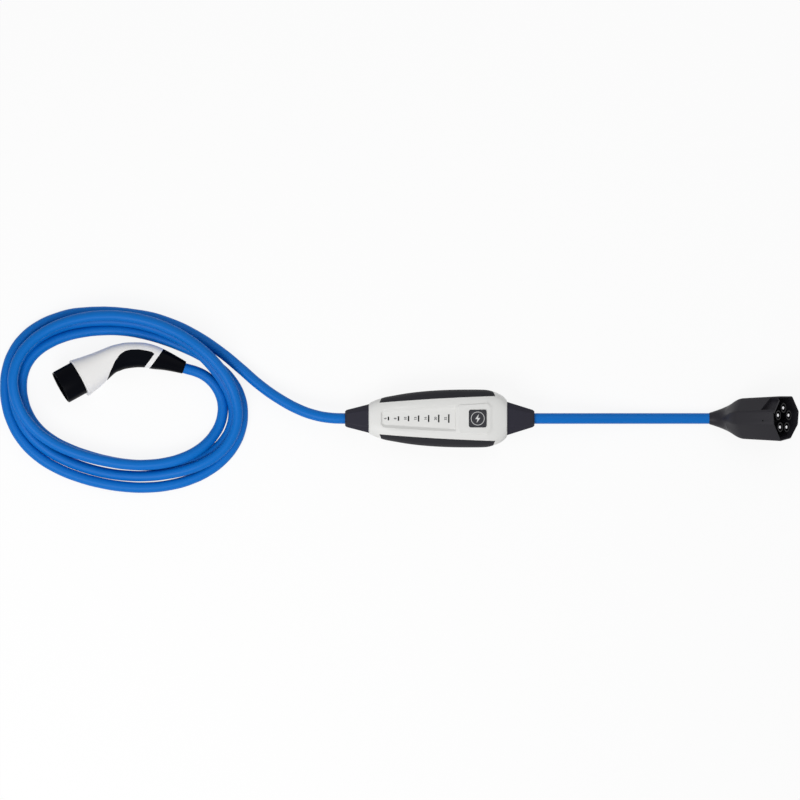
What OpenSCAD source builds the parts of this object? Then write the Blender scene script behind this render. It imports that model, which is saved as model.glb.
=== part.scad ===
// Portable charger for electric vehicles: control box, vehicle connector, supply plug and cables.
// Units are millimetres. Origin: middle of the control box's underside, on the floor.
// +X runs along the box to the supply plug, +Y across it, +Z up.

/* [Control box] */
// Largest half width of the box, over the bumpers
box_half_w = 43.5; // [38:0.5:50]
// Where the box is widest, measured along X
box_belly_x = 45; // [35:1:55]
// Left end of the white shell
box_left = -104; // [-108:0.5:-102]
// Right end of the white shell
box_right = 101.5; // [100:0.5:104]
// Height of the top surface
box_top = 58; // [57:0.5:62]
// Height of the seam between the shells, and of the cable axis at the glands
box_seam = 28.5; // [28:0.5:30]
// How far the top and bottom fall away at the ends
box_end_drop = 8; // [6:0.5:9]
// Squareness of the cross-section
box_square = 3.2; // [2.8:0.1:4]
// Thickness of the shell walls
box_wall = 5; // [4.6:0.1:5.4]
// Width of the gap kept for the seal between the shells
seal_t = 1.2; // [0.8:0.1:1.6]

/* [Bumpers] */
// Thickness of the rubber side bumpers
bumper_t = 2.4; // [1.6:0.1:3]
// Left end of the bumpers
bumper_left = -90; // [-94:0.5:-84]
// Right end of the bumpers
bumper_right = 82.5; // [76:0.5:86]
// Inner edge of a bumper at its left end, from the middle
bumper_in_left = 23.7; // [22:0.1:26]
// Inner edge of a bumper at its right end, from the middle
bumper_in_right = 33.6; // [31:0.1:35]
// Height of the lower edge of the bumpers
bumper_low = 7; // [4:0.5:12]

/* [Indicator channel] */
// Left end of the channel's floor
channel_left = -86; // [-88:0.5:-82]
// Right end of the channel
channel_right = 23.5; // [22:0.5:25]
// Half width of the floor at the left end
channel_w_left = 9.4; // [8:0.1:11]
// Half width of the floor at the right end
channel_w_right = 16; // [14:0.1:18]
// How far the sloped sides open out
channel_flare = 4.6; // [3:0.1:5]
// Depth of the floor under the crown of the box
channel_depth = 3; // [2:0.1:3.4]
// Pitch of the seven indicator bars
bar_pitch = 15.06; // [14.6:0.02:15.2]
// Place of the first bar
bar_first_x = -76.9; // [-78:0.1:-76]
// Width of a bar along X
bar_w = 2.2; // [1.6:0.1:2.8]
// Length of the first bar
bar_short = 5.6; // [5:0.1:7]
// Length of the last bar
bar_long = 12.8; // [11:0.1:14]

/* [Push button] */
// Side of the square button
button_side = 26; // [22:0.5:28]
// Corner radius of the button
button_r = 2.7; // [2:0.1:4]
// Centre of the button along X
button_x = 56.8; // [54:0.1:58]
// Gap around the button
button_gap = 0.35; // [0.25:0.05:0.6]
// Travel of the button
button_travel = 0.8; // [0.5:0.1:1]
// Height of the flat panel around the button
panel_top = 58.6; // [58.4:0.1:59.2]
// How far the button stands above the panel
button_proud = 0.5; // [0.3:0.1:0.9]

/* [Cable glands] */
// Half width of the left gland at its wide end
gland_w_left = 23.3; // [22:0.1:24]
// Half width of the right gland at its wide end
gland_w_right = 25.6; // [24:0.1:26]
// Half width of both glands at the tip
gland_tip = 12.4; // [11.5:0.1:14]
// Distance of both gland tips from the middle of the box
gland_end = 142; // [138:0.5:148]
// Radius of the neck that goes through the shell
gland_neck_r = 12; // [11:0.1:13]

/* [Cables] */
// Diameter of both cables
cable_d = 16; // [15:0.1:16.4]
// Clearance between a cable and the bore it sits in
cable_clear = 0.1; // [0.05:0.05:0.3]

/* [Vehicle connector] */
// Turn of the connector on the floor
gun_yaw = 29; // [24:0.5:34]
// Lean of the connector, so that flange and handle both rest on the floor
gun_lean = 7.5; // [7:0.1:8]
// Radius of the nose
nose_r = 27; // [26:0.1:27.4]
// Height of the nose across its flat
nose_h = 51.4; // [50:0.1:52.4]
// Length of the nose in front of the handle
nose_len = 31; // [28:0.5:34]
// Wall of the nose
nose_wall = 2.6; // [2:0.1:3.2]
// Thickness of the handle shells
handle_wall = 4; // [3.6:0.1:4.4]
// Thickness of the soft grip
grip_t = 2; // [1.4:0.1:2.4]
// Bore radius of a power contact
power_r = 3.05; // [2.8:0.05:3.2]
// Bore radius of a signal contact
signal_r = 1.55; // [1.4:0.05:1.8]
// Radius of the mouth in front of a power contact
mouth_r = 5.2; // [4.6:0.1:5.4]
// Spacing of the power contacts from the earth contact
power_pitch = 16.5; // [15.5:0.1:17]

/* [Supply plug] */
// Pitch of the plug: it lies on its heel with the mouth raised
plug_pitch = 33; // [31:0.5:35]
// X of the plug's tail, where the cable ends
plug_tail_x = 405; // [380:1:420]
// Bend radius of the tail
plug_bend_r = 64; // [60:1:68]
// Length of the faceted housing
plug_len = 93; // [90:0.5:100]
// Wall of the mouth
plug_wall = 3.6; // [3:0.1:4.4]
// How far the five tubes stand back behind the rim
plug_recess = 4; // [3.6:0.1:7]
// Radius of the circle of pins
pin_circle_r = 16; // [15:0.1:16.4]
// Radius of a pin
pin_r = 2.5; // [2.2:0.1:3]
// Outer radius of the tube around a pin
tube_r = 7.4; // [7:0.1:7.6]
// Inner radius of the tube around a pin
tube_in_r = 5.6; // [5:0.1:6]

/* [Hidden] */
// Gap between pieces that sit against each other
fit = 0.05;
// Sides of the exact round pieces
$fn = 48;
// Lengths added so that a cut runs past a face
past = 1;
cable_r = cable_d / 2;
floor_z = cable_r;

// Shape of the control box
left_span = 165;
right_span = 63;
loft_steps = 18;
loft_sides = 32;
end_dome = 2.6;
lower_h = box_seam + 1.5;
upper_h = box_top - box_seam;

// Inside the control box
board_z = box_seam - 13.5;
board_t = 1.6;
board_half_w = 22;
board_left = -62;
board_right = 62;
led_board_z = box_top - 15;
led_board_t = 1.6;
led_board_w = 9;
led_h = 1.2;
bars = 7;
screw_r = 2;
screw_head_r = 3.8;
boss_r = 5;
boss_places = [[-78, 15], [-78, -15], [82, 22], [82, -22]];
core_pitch = 3.9;
core_r = 1.7;
terminal_places = [-46, 50];
terminal_t = 10;
post_places = [[-52, 15], [-52, -15], [52, 15], [52, -15]];

// Faceted cable guards: corner cut as a share of the half width
gland_cut = 0.42;

// Handle: place on the spine x and y, half height, half width, direction
handle_stations = [
    [31, -1, 30, 31.6, 0],
    [42, -1.4, 28, 29.6, -3],
    [56, -1.7, 25.6, 27, -6],
    [72, -1.2, 22.7, 24.4, -10],
    [89, -0.6, 20.4, 22, -16],
    [98, -2.2, 20.1, 20.8, -22],
    [108, -4.8, 19.8, 20, -29],
    [121, -10.6, 19.2, 19.4, -36],
    [130, -15.8, 18.5, 18.8, -41],
    [137.5, -21.8, 17.6, 18, -44],
    [146.5, -31, 16, 16.4, -46],
    [158, -43.2, 13.4, 13.6, -46],
    [170, -56, 10.6, 10.8, -46],
    [175.3, -62, 9.6, 9.8, -46]
];
handle_sides = 28;
handle_square = 2.35;
nose_pos = [-568.4, 46.2, 35.4];
cap_line = [[161.5, -23], [128, -38.6]];
tail_x = 175.3;
tail_y = -62;
tail_dir = -46;
grip_outline = [
    [66, -24], [70, -19.5], [76.2, -14.2], [88.2, -5.1], [100.1, 0.6], [109.4, 1.5],
    [118.5, -0.9], [129.4, -6.6], [139.2, -14.2], [145, -19.5], [146.2, -23],
    [137.9, -29.2], [124.8, -34.4], [118, -50], [70, -50]
];
nose_mid_y = nose_r - nose_h / 2;
nose_grip = 8;
contact_spots = [[0, 0], [0, 1], [0, -1], [-0.9, 0.52], [-0.9, -0.52]];
signal_spots = [[0.8, 0.5], [0.8, -0.5]];
gun_screw_spots = [[62, 12], [94, 9], [50, -16]];

// Rim of the supply plug: up, then across
plug_rim = [
    [36.5, 11], [34, -9], [15, -34], [-14, -29.8],
    [-34, -9], [-36.5, 11], [-18.5, 33.5], [18.5, 33.5]
];
plug_rear = 20;
plug_neck = 16.4;
plug_neck_wide = 1.36;
plug_tail_z = cable_r + 0.9;
plug_floor_s = 62;
plug_plate_t = 6;
tube_sink = 2;
pin_root_r = pin_r + 0.7;

// Cable coil: middle, half axes and slant of its outer edge
coil_mid = [-472.7, 28.5];
coil_a = 185;
coil_b = 140;
coil_slant = 8.6;
coil_steps = 40;
lane = cable_d + 0.2;
coil_in = 2 * lane + cable_d;

// Routes of the loose cables, chosen by hand from the photograph
supply_route = [
    [88, 0, 28.5], [142, 0, 28.5], [165, 0, 28], [195, 0, 25.5], [230, 0, 20.5],
    [265, 0, 15], [300, 0, 11], [335, 0, 9], [370, 0, 8.7], [405, 0, 8.9]
];
run_route = [
    [-88, 0, 28.5], [-142, 0, 28.5], [-165, 1, 28], [-187, 5, 26], [-210, 13, 22.5],
    [-240, 29, 17.5], [-270, 50, 13], [-300, 76, 10], [-328, 99, 8.6], [-367, 125, 8],
    [-405, 143, 8], [-449, 155, 8]
];
lead_route = [
    [-398.6, 80.2, 13.8], [-385.6, 76.2, 12.5], [-373, 73.8, 11.4], [-360, 70, 10.2], [-346, 62.5, 9.2],
    [-335, 51.5, 8.6], [-328, 37.5, 8.2]
];
tube_sides = 10;

// Helpers

function signed_pow(v, e) = sign(v) * pow(abs(v), e);

function unit(v) = v / norm(v);

// Solid through a list of rings. Each ring turns counter-clockwise about the way the list runs.
module skin(rings, closed = false) {
    n = len(rings);
    m = len(rings[0]);
    last = closed ? n - 1 : n - 2;
    points = [for (ring = rings) each ring];
    sides = [
        for (i = [0 : last])
            for (j = [0 : m - 1])
                let (
                    k = (i + 1) % n,
                    a = i * m + j,
                    b = i * m + (j + 1) % m,
                    c = k * m + (j + 1) % m,
                    d = k * m + j
                )
                    each [[a, c, b], [a, d, c]]
    ];
    caps = closed ? [] : [[for (j = [0 : m - 1]) j], [for (j = [0 : m - 1]) n * m - 1 - j]];
    polyhedron(points = points, faces = concat(sides, caps), convexity = 8);
}

// Ring of a round tube at point p that runs along t
function tube_ring(p, t, r, sides) =
    let (
        side = unit(cross([0, 0, 1], t)),
        top = cross(t, side)
    )
        [for (j = [0 : sides - 1]) p + r * (cos(360 * j / sides) * side + sin(360 * j / sides) * top)];

module tube(route, r) {
    n = len(route);
    skin([
        for (i = [0 : n - 1])
            tube_ring(route[i], unit(route[min(i + 1, n - 1)] - route[max(i - 1, 0)]), r, tube_sides)
    ]);
}

module rounded_square(side, r) {
    h = side / 2 - r;
    hull() {
        for (x = [-h, h]) {
            for (y = [-h, h]) {
                translate([x, y]) circle(r, $fn = 24);
            }
        }
    }
}

// Control box

function box_half(x) =
    x < box_belly_x
        ? box_half_w * pow(1 - pow((box_belly_x - x) / left_span, 2.2), 0.4)
        : box_half_w * sqrt(1 - pow((x - box_belly_x) / right_span, 4));

function box_drop(x) = box_end_drop * pow(abs(x) / 104, 5);

function box_station(i) = box_left + (box_right - box_left) * (1 - cos(180 * i / loft_steps)) / 2;

function box_ring(x, inset, share) =
    let (
        w = (box_half(min(max(x, box_left), box_right)) - inset) * share,
        up = (upper_h - box_drop(x) - inset) * share,
        low = (lower_h - box_drop(x) - inset) * share
    )
        [
            for (j = [0 : loft_sides - 1])
                let (
                    a = 360 * (j + 0.5) / loft_sides,
                    s = signed_pow(sin(a), 2 / box_square)
                )
                    [x, w * signed_pow(cos(a), 2 / box_square), box_seam + s * (s > 0 ? up : low)]
        ];

// The whole outer form, or the same form taken in all round
module box_form(inset) {
    shift = (box_right - box_left - 2 * inset) / (box_right - box_left);
    mid = (box_left + box_right) / 2;
    body = [
        for (i = [0 : loft_steps])
            let (x = mid + (box_station(i) - mid) * shift)
                box_ring(x, inset, 1)
    ];
    left_cap = [
        for (s = [0.45, 0.8])
            [for (p = box_ring(box_left + inset, inset, s)) p - [end_dome * (1 - s * s), 0, 0]]
    ];
    right_cap = [
        for (s = [0.8, 0.45])
            [for (p = box_ring(box_right - inset, inset, s)) p + [end_dome * (1 - s * s), 0, 0]]
    ];
    skin(concat(left_cap, body, right_cap));
}

module bumper_zone(grow) {
    outer = box_half_w + 10;
    lean = 3.5;
    translate([0, 0, bumper_low - grow])
        linear_extrude(box_top)
            polygon([
                [bumper_left - grow, bumper_in_left - grow],
                [bumper_right + grow, bumper_in_right - grow],
                [bumper_right - lean + grow, outer],
                [bumper_left - 1 - grow, outer]
            ]);
}

module both_sides() {
    children();
    mirror([0, 1, 0]) children();
}

module bumper_solid() {
    difference() {
        intersection() {
            box_form(0);
            bumper_zone(0);
        }
        box_form(bumper_t - fit);
    }
}

// Outer form of the shells, with pockets for the bumpers
module shell_form() {
    difference() {
        box_form(0);
        both_sides() {
            difference() {
                bumper_zone(fit);
                box_form(bumper_t);
            }
        }
    }
}

function channel_floor(x) = box_top - channel_depth - 1.2 * box_drop(x * 0.98);

// Ring of the indicator channel: half widths, and how far it has opened out
function channel_ring(flare, rise) =
    let (
        l = channel_left - flare,
        wl = channel_w_left + flare,
        wr = channel_w_right + flare,
        zl = channel_floor(channel_left) + rise,
        zr = channel_floor(channel_right) + rise,
        slope = (zr - zl) / (channel_right - channel_left),
        flat_points = [
            [channel_right, -wr], [channel_right, wr], [l + 6, wl], [l + 2, wl - 2.2],
            [l, wl - 6.5], [l, 6.5 - wl], [l + 2, 2.2 - wl], [l + 6, -wl]
        ]
    )
        [for (p = flat_points) [p[0], p[1], zl + slope * (p[0] - channel_left)]];

module channel_cut() {
    rise = channel_depth + 2;
    skin([channel_ring(0, 0), channel_ring(channel_flare * rise / channel_depth, rise)]);
}

function panel_ring(grow, z) =
    let (
        l = channel_right + 3.5 - grow,
        r = button_x + 19 + grow,
        wl = 19.8 + grow,
        wr = 21.6 + grow
    )
        [
            [l + 3, -wl, z], [r - 5, -wr, z], [r, -wr + 5, z], [r, wr - 5, z],
            [r - 5, wr, z], [l + 3, wl, z], [l, wl - 3, z], [l, 3 - wl, z]
        ];

module panel_pad() {
    skin([panel_ring(1.6, box_top - 4), panel_ring(1.2, panel_top - 0.7), panel_ring(0, panel_top)]);
}

function bar_len(i) = bar_short + (bar_long - bar_short) * i / (bars - 1);

function bar_x(i) = bar_first_x + bar_pitch * i;

module bar_cut(grow) {
    for (i = [0 : bars - 1]) {
        translate([bar_x(i), 0, box_top - 10])
            cube([bar_w + 2 * grow, bar_len(i) + 2 * grow, 40], center = true);
    }
}

module shell_bosses(z0, z1) {
    for (p = boss_places) {
        translate([p[0], p[1], z0])
            cylinder(h = z1 - z0, r = boss_r);
    }
}

// Posts that the indicator board hangs from
module board_posts() {
    for (x = [bar_x(0) + bar_pitch / 2, channel_right + 10]) {
        for (y = [-6, 6]) {
            translate([x, y, led_board_z + led_board_t])
                cylinder(h = 20, r = 2.2);
        }
    }
}

module neck_holes() {
    for (s = [-1, 1]) {
        translate([s * 112, 0, box_seam])
            rotate([0, -90 * s, 0])
                cylinder(h = 30, r = gland_neck_r + fit);
    }
}

module upper_shell() {
    top_in = box_top - box_wall;
    color("white")
        difference() {
            intersection() {
                union() {
                    difference() {
                        shell_form();
                        box_form(box_wall);
                    }
                    intersection() {
                        box_form(box_wall - 0.5);
                        union() {
                            shell_bosses(box_seam, box_top);
                            board_posts();
                            translate([channel_left - 6, -channel_w_right - 5, top_in - 5])
                                cube([channel_right - channel_left + 8, 2 * channel_w_right + 10, 9]);
                        }
                    }
                    panel_pad();
                }
                translate([-150, -60, box_seam])
                    cube([300, 120, 60]);
            }
            seal_groove();
            channel_cut();
            bar_cut(fit);
            neck_holes();
            translate([button_x, 0, box_top - 14])
                linear_extrude(30)
                    rounded_square(button_side + 2 * button_gap, button_r + button_gap);
            for (p = boss_places) {
                translate([p[0], p[1], box_seam - past])
                    cylinder(h = 14 + past, r = screw_r + fit);
            }
            translate([button_x - 15.4, -15.4, 0])
                cube([30.8, 30.8, top_in]);
        }
}

module lower_shell() {
    color("white")
        difference() {
            intersection() {
                union() {
                    difference() {
                        shell_form();
                        box_form(box_wall);
                    }
                    intersection() {
                        box_form(box_wall - 0.5);
                        union() {
                            shell_bosses(0, box_seam);
                            for (p = post_places) {
                                translate([p[0], p[1], 1])
                                    cylinder(h = board_z - 1, r = 4);
                            }
                        }
                    }
                }
                translate([-150, -60, 0])
                    cube([300, 120, box_seam]);
            }
            neck_holes();
            for (p = boss_places) {
                translate([p[0], p[1], -past])
                    cylinder(h = box_seam + 2 * past, r = screw_r + 0.2);
                translate([p[0], p[1], -past])
                    cylinder(h = 9 + past, r = screw_head_r + 0.3);
            }
        }
}

function seal_outline(inset) =
    let (
        right = [for (i = [0 : loft_steps]) box_station(i)],
        near = [for (x = right) [x * (1 - inset / 102), inset - box_half(x)]],
        far = [for (i = [loft_steps : -1 : 0]) [right[i] * (1 - inset / 102), box_half(right[i]) - inset]]
    )
        concat(near, far);

module seal_band(inner, outer, z, h) {
    difference() {
        translate([0, 0, z])
            linear_extrude(h)
                difference() {
                    polygon(seal_outline(inner));
                    polygon(seal_outline(outer));
                }
        neck_holes();
    }
}

module seal_groove() {
    seal_band(3.2 - fit, 4.4 + fit, box_seam - past, seal_t + past);
}

module housing_seal() {
    color("dimgray")
        seal_band(3.2, 4.4, box_seam, seal_t - fit);
}

module housing_screws() {
    color("silver")
        for (p = boss_places) {
            translate([p[0], p[1], 9 - 3]) {
                difference() {
                    cylinder(h = 3 - fit, r = screw_head_r);
                    translate([0, 0, -past])
                        cylinder(h = 1.6 + past, r = 1.7, $fn = 6);
                }
                cylinder(h = 34, r = screw_r);
            }
        }
}

module bumper_far() {
    color("darkslategray") bumper_solid();
}

module bumper_near() {
    color("darkslategray") mirror([0, 1, 0]) bumper_solid();
}

function gland_ring(x, w, h) =
    let (
        c = gland_cut
    )
        [
            [x, w, -h * (1 - c)], [x, w, h * (1 - c)], [x, w * (1 - c), h], [x, -w * (1 - c), h],
            [x, -w, h * (1 - c)], [x, -w, -h * (1 - c)], [x, -w * (1 - c), -h], [x, w * (1 - c), -h]
        ];

module gland_solid(wide, start) {
    high = upper_h - box_end_drop - 0.4;
    tip_in = 2.5;
    skin([
        gland_ring(start, wide, high),
        gland_ring(gland_end - tip_in, gland_tip + 0.6, gland_tip + 0.6),
        gland_ring(gland_end, gland_tip - 1.4, gland_tip - 1.4)
    ]);
}

module gland_bored(wide, start, turn) {
    translate([0, 0, box_seam])
        difference() {
            union() {
                difference() {
                    rotate([0, 0, turn]) gland_solid(wide, start);
                    translate([0, 0, -box_seam]) box_form(-fit);
                }
                rotate([0, 0, turn])
                    translate([start - 10, 0, 0])
                        rotate([0, 90, 0])
                            cylinder(h = 16, r = gland_neck_r);
            }
            rotate([0, 0, turn])
                translate([start - 12, 0, 0])
                    rotate([0, 90, 0])
                        cylinder(h = 70, r = cable_r + cable_clear);
        }
}

module gland_vehicle() {
    color("dimgray") gland_bored(gland_w_left, -box_left, 180);
}

module gland_supply() {
    color("dimgray") gland_bored(gland_w_right, box_right, 0);
}

module gland_nuts() {
    color("gray")
        for (g = [[-box_left, 180], [box_right, 0]]) {
            rotate([0, 0, g[1]])
                translate([g[0] - 8.7, 0, box_seam])
                    rotate([0, 90, 0])
                        difference() {
                            cylinder(h = 4, r = gland_neck_r + 3.4, $fn = 6);
                            translate([0, 0, -past])
                                cylinder(h = 6, r = gland_neck_r + fit);
                        }
        }
}

module light_bars() {
    color("aqua")
        for (i = [0 : bars - 1]) {
            low = led_board_z + led_board_t + led_h + 0.2;
            top = channel_floor(bar_x(i)) + 0.25;
            translate([bar_x(i) - bar_w / 2, -bar_len(i) / 2, low])
                cube([bar_w, bar_len(i), top - low]);
        }
}

module indicator_board() {
    color("green")
        translate([bar_first_x - 6, -led_board_w, led_board_z])
            cube([button_x + 14 - bar_first_x, 2 * led_board_w, led_board_t]);
}

module indicator_leds() {
    color("khaki")
        for (i = [0 : bars - 1]) {
            translate([bar_x(i) - 1.4, -1.75, led_board_z + led_board_t])
                cube([2.8, 3.5, led_h]);
        }
}

button_top = panel_top + button_proud;
button_flange_top = box_top - box_wall - 0.15;
button_stem_low = led_board_z + led_board_t + 3.6;

module mode_button() {
    color("black")
        translate([button_x, 0, 0]) {
            translate([0, 0, button_flange_top - 0.01])
                linear_extrude(button_top - button_flange_top + 0.01)
                    rounded_square(button_side, button_r);
            translate([-14.6, -14.6, button_flange_top - 1.6])
                cube([29.2, 29.2, 1.6]);
            translate([0, 0, button_stem_low])
                cylinder(h = button_flange_top - button_stem_low - 1, r = 3);
        }
}

module switch_dome() {
    color("lightgray")
        translate([button_x, 0, led_board_z + led_board_t])
            cylinder(h = 3.6 - fit, r1 = 5, r2 = 3);
}

module main_board() {
    color("green")
        difference() {
            translate([board_left, -board_half_w, board_z])
                cube([board_right - board_left, 2 * board_half_w, board_t]);
            for (p = post_places) {
                translate([p[0], p[1], board_z - past])
                    cylinder(h = board_t + 2 * past, r = 1.6);
            }
        }
}

module relays() {
    color("black")
        for (i = [0 : 3]) {
            translate([-32 + 14 * i, -13, board_z + board_t])
                cube([12.5, 26, 20]);
        }
}

module current_sensor() {
    color("navy")
        translate([-54, 0, box_seam])
            rotate([0, 90, 0])
                difference() {
                    cylinder(h = 6, r = box_seam - board_z - board_t - fit, center = true);
                    cylinder(h = 8, r = 2 * core_pitch + 2, center = true);
                }
}

module power_module() {
    color("gold")
        translate([30, -16, board_z + board_t])
            cube([9, 32, 18]);
}

module terminal_blocks() {
    color("limegreen")
        for (x = terminal_places) {
            difference() {
                translate([x, -13, board_z + board_t])
                    cube([terminal_t, 26, box_seam + 5 - board_z - board_t]);
                for (i = [-2 : 2]) {
                    translate([x - past, i * core_pitch, box_seam])
                        rotate([0, 90, 0])
                            cylinder(h = terminal_t + 2 * past, r = core_r + fit / 2);
                }
            }
        }
}

module cores(x0, x1) {
    for (i = [-2 : 2]) {
        translate([x0, i * core_pitch, box_seam])
            rotate([0, 90, 0])
                cylinder(h = x1 - x0, r = core_r);
    }
}

module vehicle_cores() {
    color("brown") cores(run_route[0][0] + fit, terminal_places[0] + 2);
}

module supply_cores() {
    color("brown") cores(terminal_places[1] + terminal_t - 2, supply_route[0][0] - fit);
}

// Vehicle connector, drawn with its nose at the origin and its spine along +X

module gun() {
    translate(nose_pos)
        rotate([0, gun_lean, gun_yaw])
            children();
}

function handle_ring(s, inset) =
    let (
        d = s[4],
        h = s[2] - inset,
        w = s[3] - inset,
        e = 2 / handle_square
    )
        [
            for (j = [0 : handle_sides - 1])
                let (
                    a = 360 * (j + 0.5) / handle_sides,
                    u = h * signed_pow(cos(a), e),
                    v = w * signed_pow(sin(a), e)
                )
                    [s[0] - u * sin(d), s[1] + u * cos(d), v]
        ];

module handle_form(inset, first) {
    skin([for (i = [first : len(handle_stations) - 1]) handle_ring(handle_stations[i], inset)]);
}

module cap_side(shift, side) {
    run = unit(cap_line[1] - cap_line[0]);
    out = [-run[1], run[0]] * side;
    a = cap_line[0] - run * 60 + out * shift;
    b = cap_line[1] + run * 60 + out * shift;
    points = [a, b, b + out * 120, a + out * 120];
    linear_extrude(100, center = true)
        polygon(side > 0 ? points : [points[3], points[2], points[1], points[0]]);
}

module grip_zone(grow) {
    linear_extrude(100, center = true)
        offset(delta = grow)
            polygon(grip_outline);
}

module nose_profile(inset) {
    translate([0, nose_mid_y])
        intersection() {
            circle(nose_r - inset);
            translate([-40, -60])
                square([80, 60 + nose_h - nose_r - inset]);
        }
}

// Length of nose between two places on its axis
module nose_block(x0, x1, inset) {
    translate([x0, 0, 0])
        multmatrix([[0, 0, 1, 0], [0, 1, 0, 0], [-1, 0, 0, 0], [0, 0, 0, 1]])
            linear_extrude(x1 - x0)
                nose_profile(inset);
}

module handle_shell() {
    difference() {
        handle_form(0, 0);
        handle_form(handle_wall, 1);
        difference() {
            grip_zone(fit);
            handle_form(grip_t, 0);
        }
        nose_block(nose_len - past, nose_len + nose_grip + fit, -fit);
        nose_block(nose_len, nose_len + 16, nose_wall);
        cap_side(-fit, 1);
    }
}

module gun_screw_holes(z0, z1, r) {
    for (p = gun_screw_spots) {
        translate([p[0], p[1], z0])
            cylinder(h = z1 - z0, r = r);
    }
}

module handle_bosses() {
    intersection() {
        handle_form(handle_wall - 0.5, 1);
        gun_screw_holes(-40, 40, 5);
    }
}

module handle_upper() {
    color("white")
        gun()
            difference() {
                intersection() {
                    union() {
                        handle_shell();
                        handle_bosses();
                    }
                    translate([0, -100, fit])
                        cube([220, 200, 60]);
                }
                cable_bore();
                gun_screw_holes(-past, 14, 1.6 + fit);
            }
}

module handle_lower() {
    color("white")
        gun()
            difference() {
                intersection() {
                    union() {
                        handle_shell();
                        handle_bosses();
                    }
                    translate([0, -100, -60])
                        cube([220, 200, 60]);
                }
                cable_bore();
                gun_screw_holes(-60, past, 1.8);
                gun_screw_holes(-60, -14, 3.4);
            }
}

module cable_bore() {
    translate([tail_x, tail_y, 0])
        rotate([0, 0, tail_dir])
            rotate([0, 90, 0])
                cylinder(h = 120, r = cable_r + cable_clear, center = true);
}

module grip_pad() {
    color("black")
        gun()
            difference() {
                intersection() {
                    handle_form(0, 0);
                    grip_zone(0);
                }
                handle_form(grip_t - fit, 0);
            }
}

module end_cap() {
    color("black")
        gun()
            difference() {
                intersection() {
                    handle_form(0, 5);
                    cap_side(0, 1);
                }
                cable_bore();
            }
}

module connector_nose() {
    color("black")
        gun()
            difference() {
                nose_block(0, nose_len + nose_grip, 0);
                nose_block(-past, nose_len + nose_grip + past, nose_wall);
            }
}

module contact_carrier() {
    color("black")
        gun()
            difference() {
                nose_block(1.6, nose_len + 6, nose_wall + fit);
                at_contacts(contact_spots, power_pitch, 0, 60, power_r + 1.1 + fit);
                at_contacts(contact_spots, power_pitch, 0, 8, mouth_r);
                at_contacts(signal_spots, power_pitch, 0, 60, signal_r + 1 + fit);
                at_contacts(signal_spots, power_pitch, 0, 8, 3.4);
            }
}

module at_contacts(spots, pitch, x0, len, r) {
    for (p = spots) {
        translate([x0, p[0] * pitch, p[1] * pitch])
            rotate([0, 90, 0])
                cylinder(h = len, r = r);
    }
}

module power_contacts() {
    color("silver")
        gun()
            difference() {
                at_contacts(contact_spots, power_pitch, 9, nose_len, power_r + 1.1);
                at_contacts(contact_spots, power_pitch, 8, nose_len - 3, power_r);
            }
}

module signal_contacts() {
    color("silver")
        gun()
            difference() {
                at_contacts(signal_spots, power_pitch, 9, nose_len, signal_r + 1);
                at_contacts(signal_spots, power_pitch, 8, nose_len - 3, signal_r);
            }
}

module handle_screws() {
    color("silver")
        gun()
            for (p = gun_screw_spots) {
                translate([p[0], p[1], -14 - 2.5]) {
                    difference() {
                        cylinder(h = 2.5 - fit, r = 3.2);
                        translate([0, 0, -past])
                            cylinder(h = 1.4 + past, r = 1.5, $fn = 6);
                    }
                    cylinder(h = 29, r = 1.6);
                }
            }
}

// Supply plug: faceted housing that lies on its heel

function tail_point(a) =
    [plug_tail_x + plug_bend_r * sin(a), 0, plug_tail_z + plug_bend_r * (1 - cos(a))];

module plug() {
    translate(tail_point(plug_pitch))
        rotate([0, -plug_pitch, 0])
            children();
}

function plug_ring(s, across, up, inset) =
    [
        for (p = plug_rim)
            [s, p[1] * across * (1 - inset / 34), p[0] * up * (1 - inset / 36)]
    ];

function neck_ring(s, r) =
    [
        for (p = plug_rim)
            let (a = atan2(p[0], p[1]))
                [s, plug_neck_wide * r * cos(a), r * sin(a)]
    ];

module plug_tail() {
    steps = 6;
    color("dimgray")
        skin([
            for (i = [0 : steps])
                let (
                    a = plug_pitch * i / steps,
                    r = cable_r + 0.7 + (plug_neck - cable_r - 0.7) * i / steps,
                    wide = 1 + (plug_neck_wide - 1) * i / steps
                )
                    [for (q = tube_ring(tail_point(a), [cos(a), 0, sin(a)], r, 16)) [q[0], q[1] * wide, q[2]]]
        ]);
}

module plug_housing() {
    color("dimgray")
        plug()
            difference() {
                skin([
                    neck_ring(fit, plug_neck),
                    plug_ring(plug_rear, 0.9, 0.97, 0),
                    plug_ring(plug_len, 1, 1, 0)
                ]);
                skin([plug_ring(plug_floor_s, 0.96, 0.99, plug_wall), plug_ring(plug_len + past, 1, 1, plug_wall)]);
                plug_window();
                translate([74, -3, 30])
                    cylinder(h = 10, r = 1.25);
            }
}

// Keyway in the upper facet, open to the rim and slanting at its back end
module plug_window() {
    a = plug_rim[0];
    b = plug_rim[7];
    mid = (a + b) / 2;
    lean = atan2(a[0] - b[0], b[1] - a[1]);
    translate([plug_len - 22, mid[1], mid[0]])
        rotate([-lean, 0, 0])
            translate([0, 0, -8])
                linear_extrude(20)
                    polygon([[-0.8, -12], [30, -12], [30, 11], [6.9, 11]]);
}

module at_pins(s, len, r) {
    for (i = [0 : 4]) {
        a = 90 + 72 * i;
        translate([s, pin_circle_r * sin(a), pin_circle_r * cos(a)])
            rotate([0, 90, 0])
                cylinder(h = len, r = r);
    }
}

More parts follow.
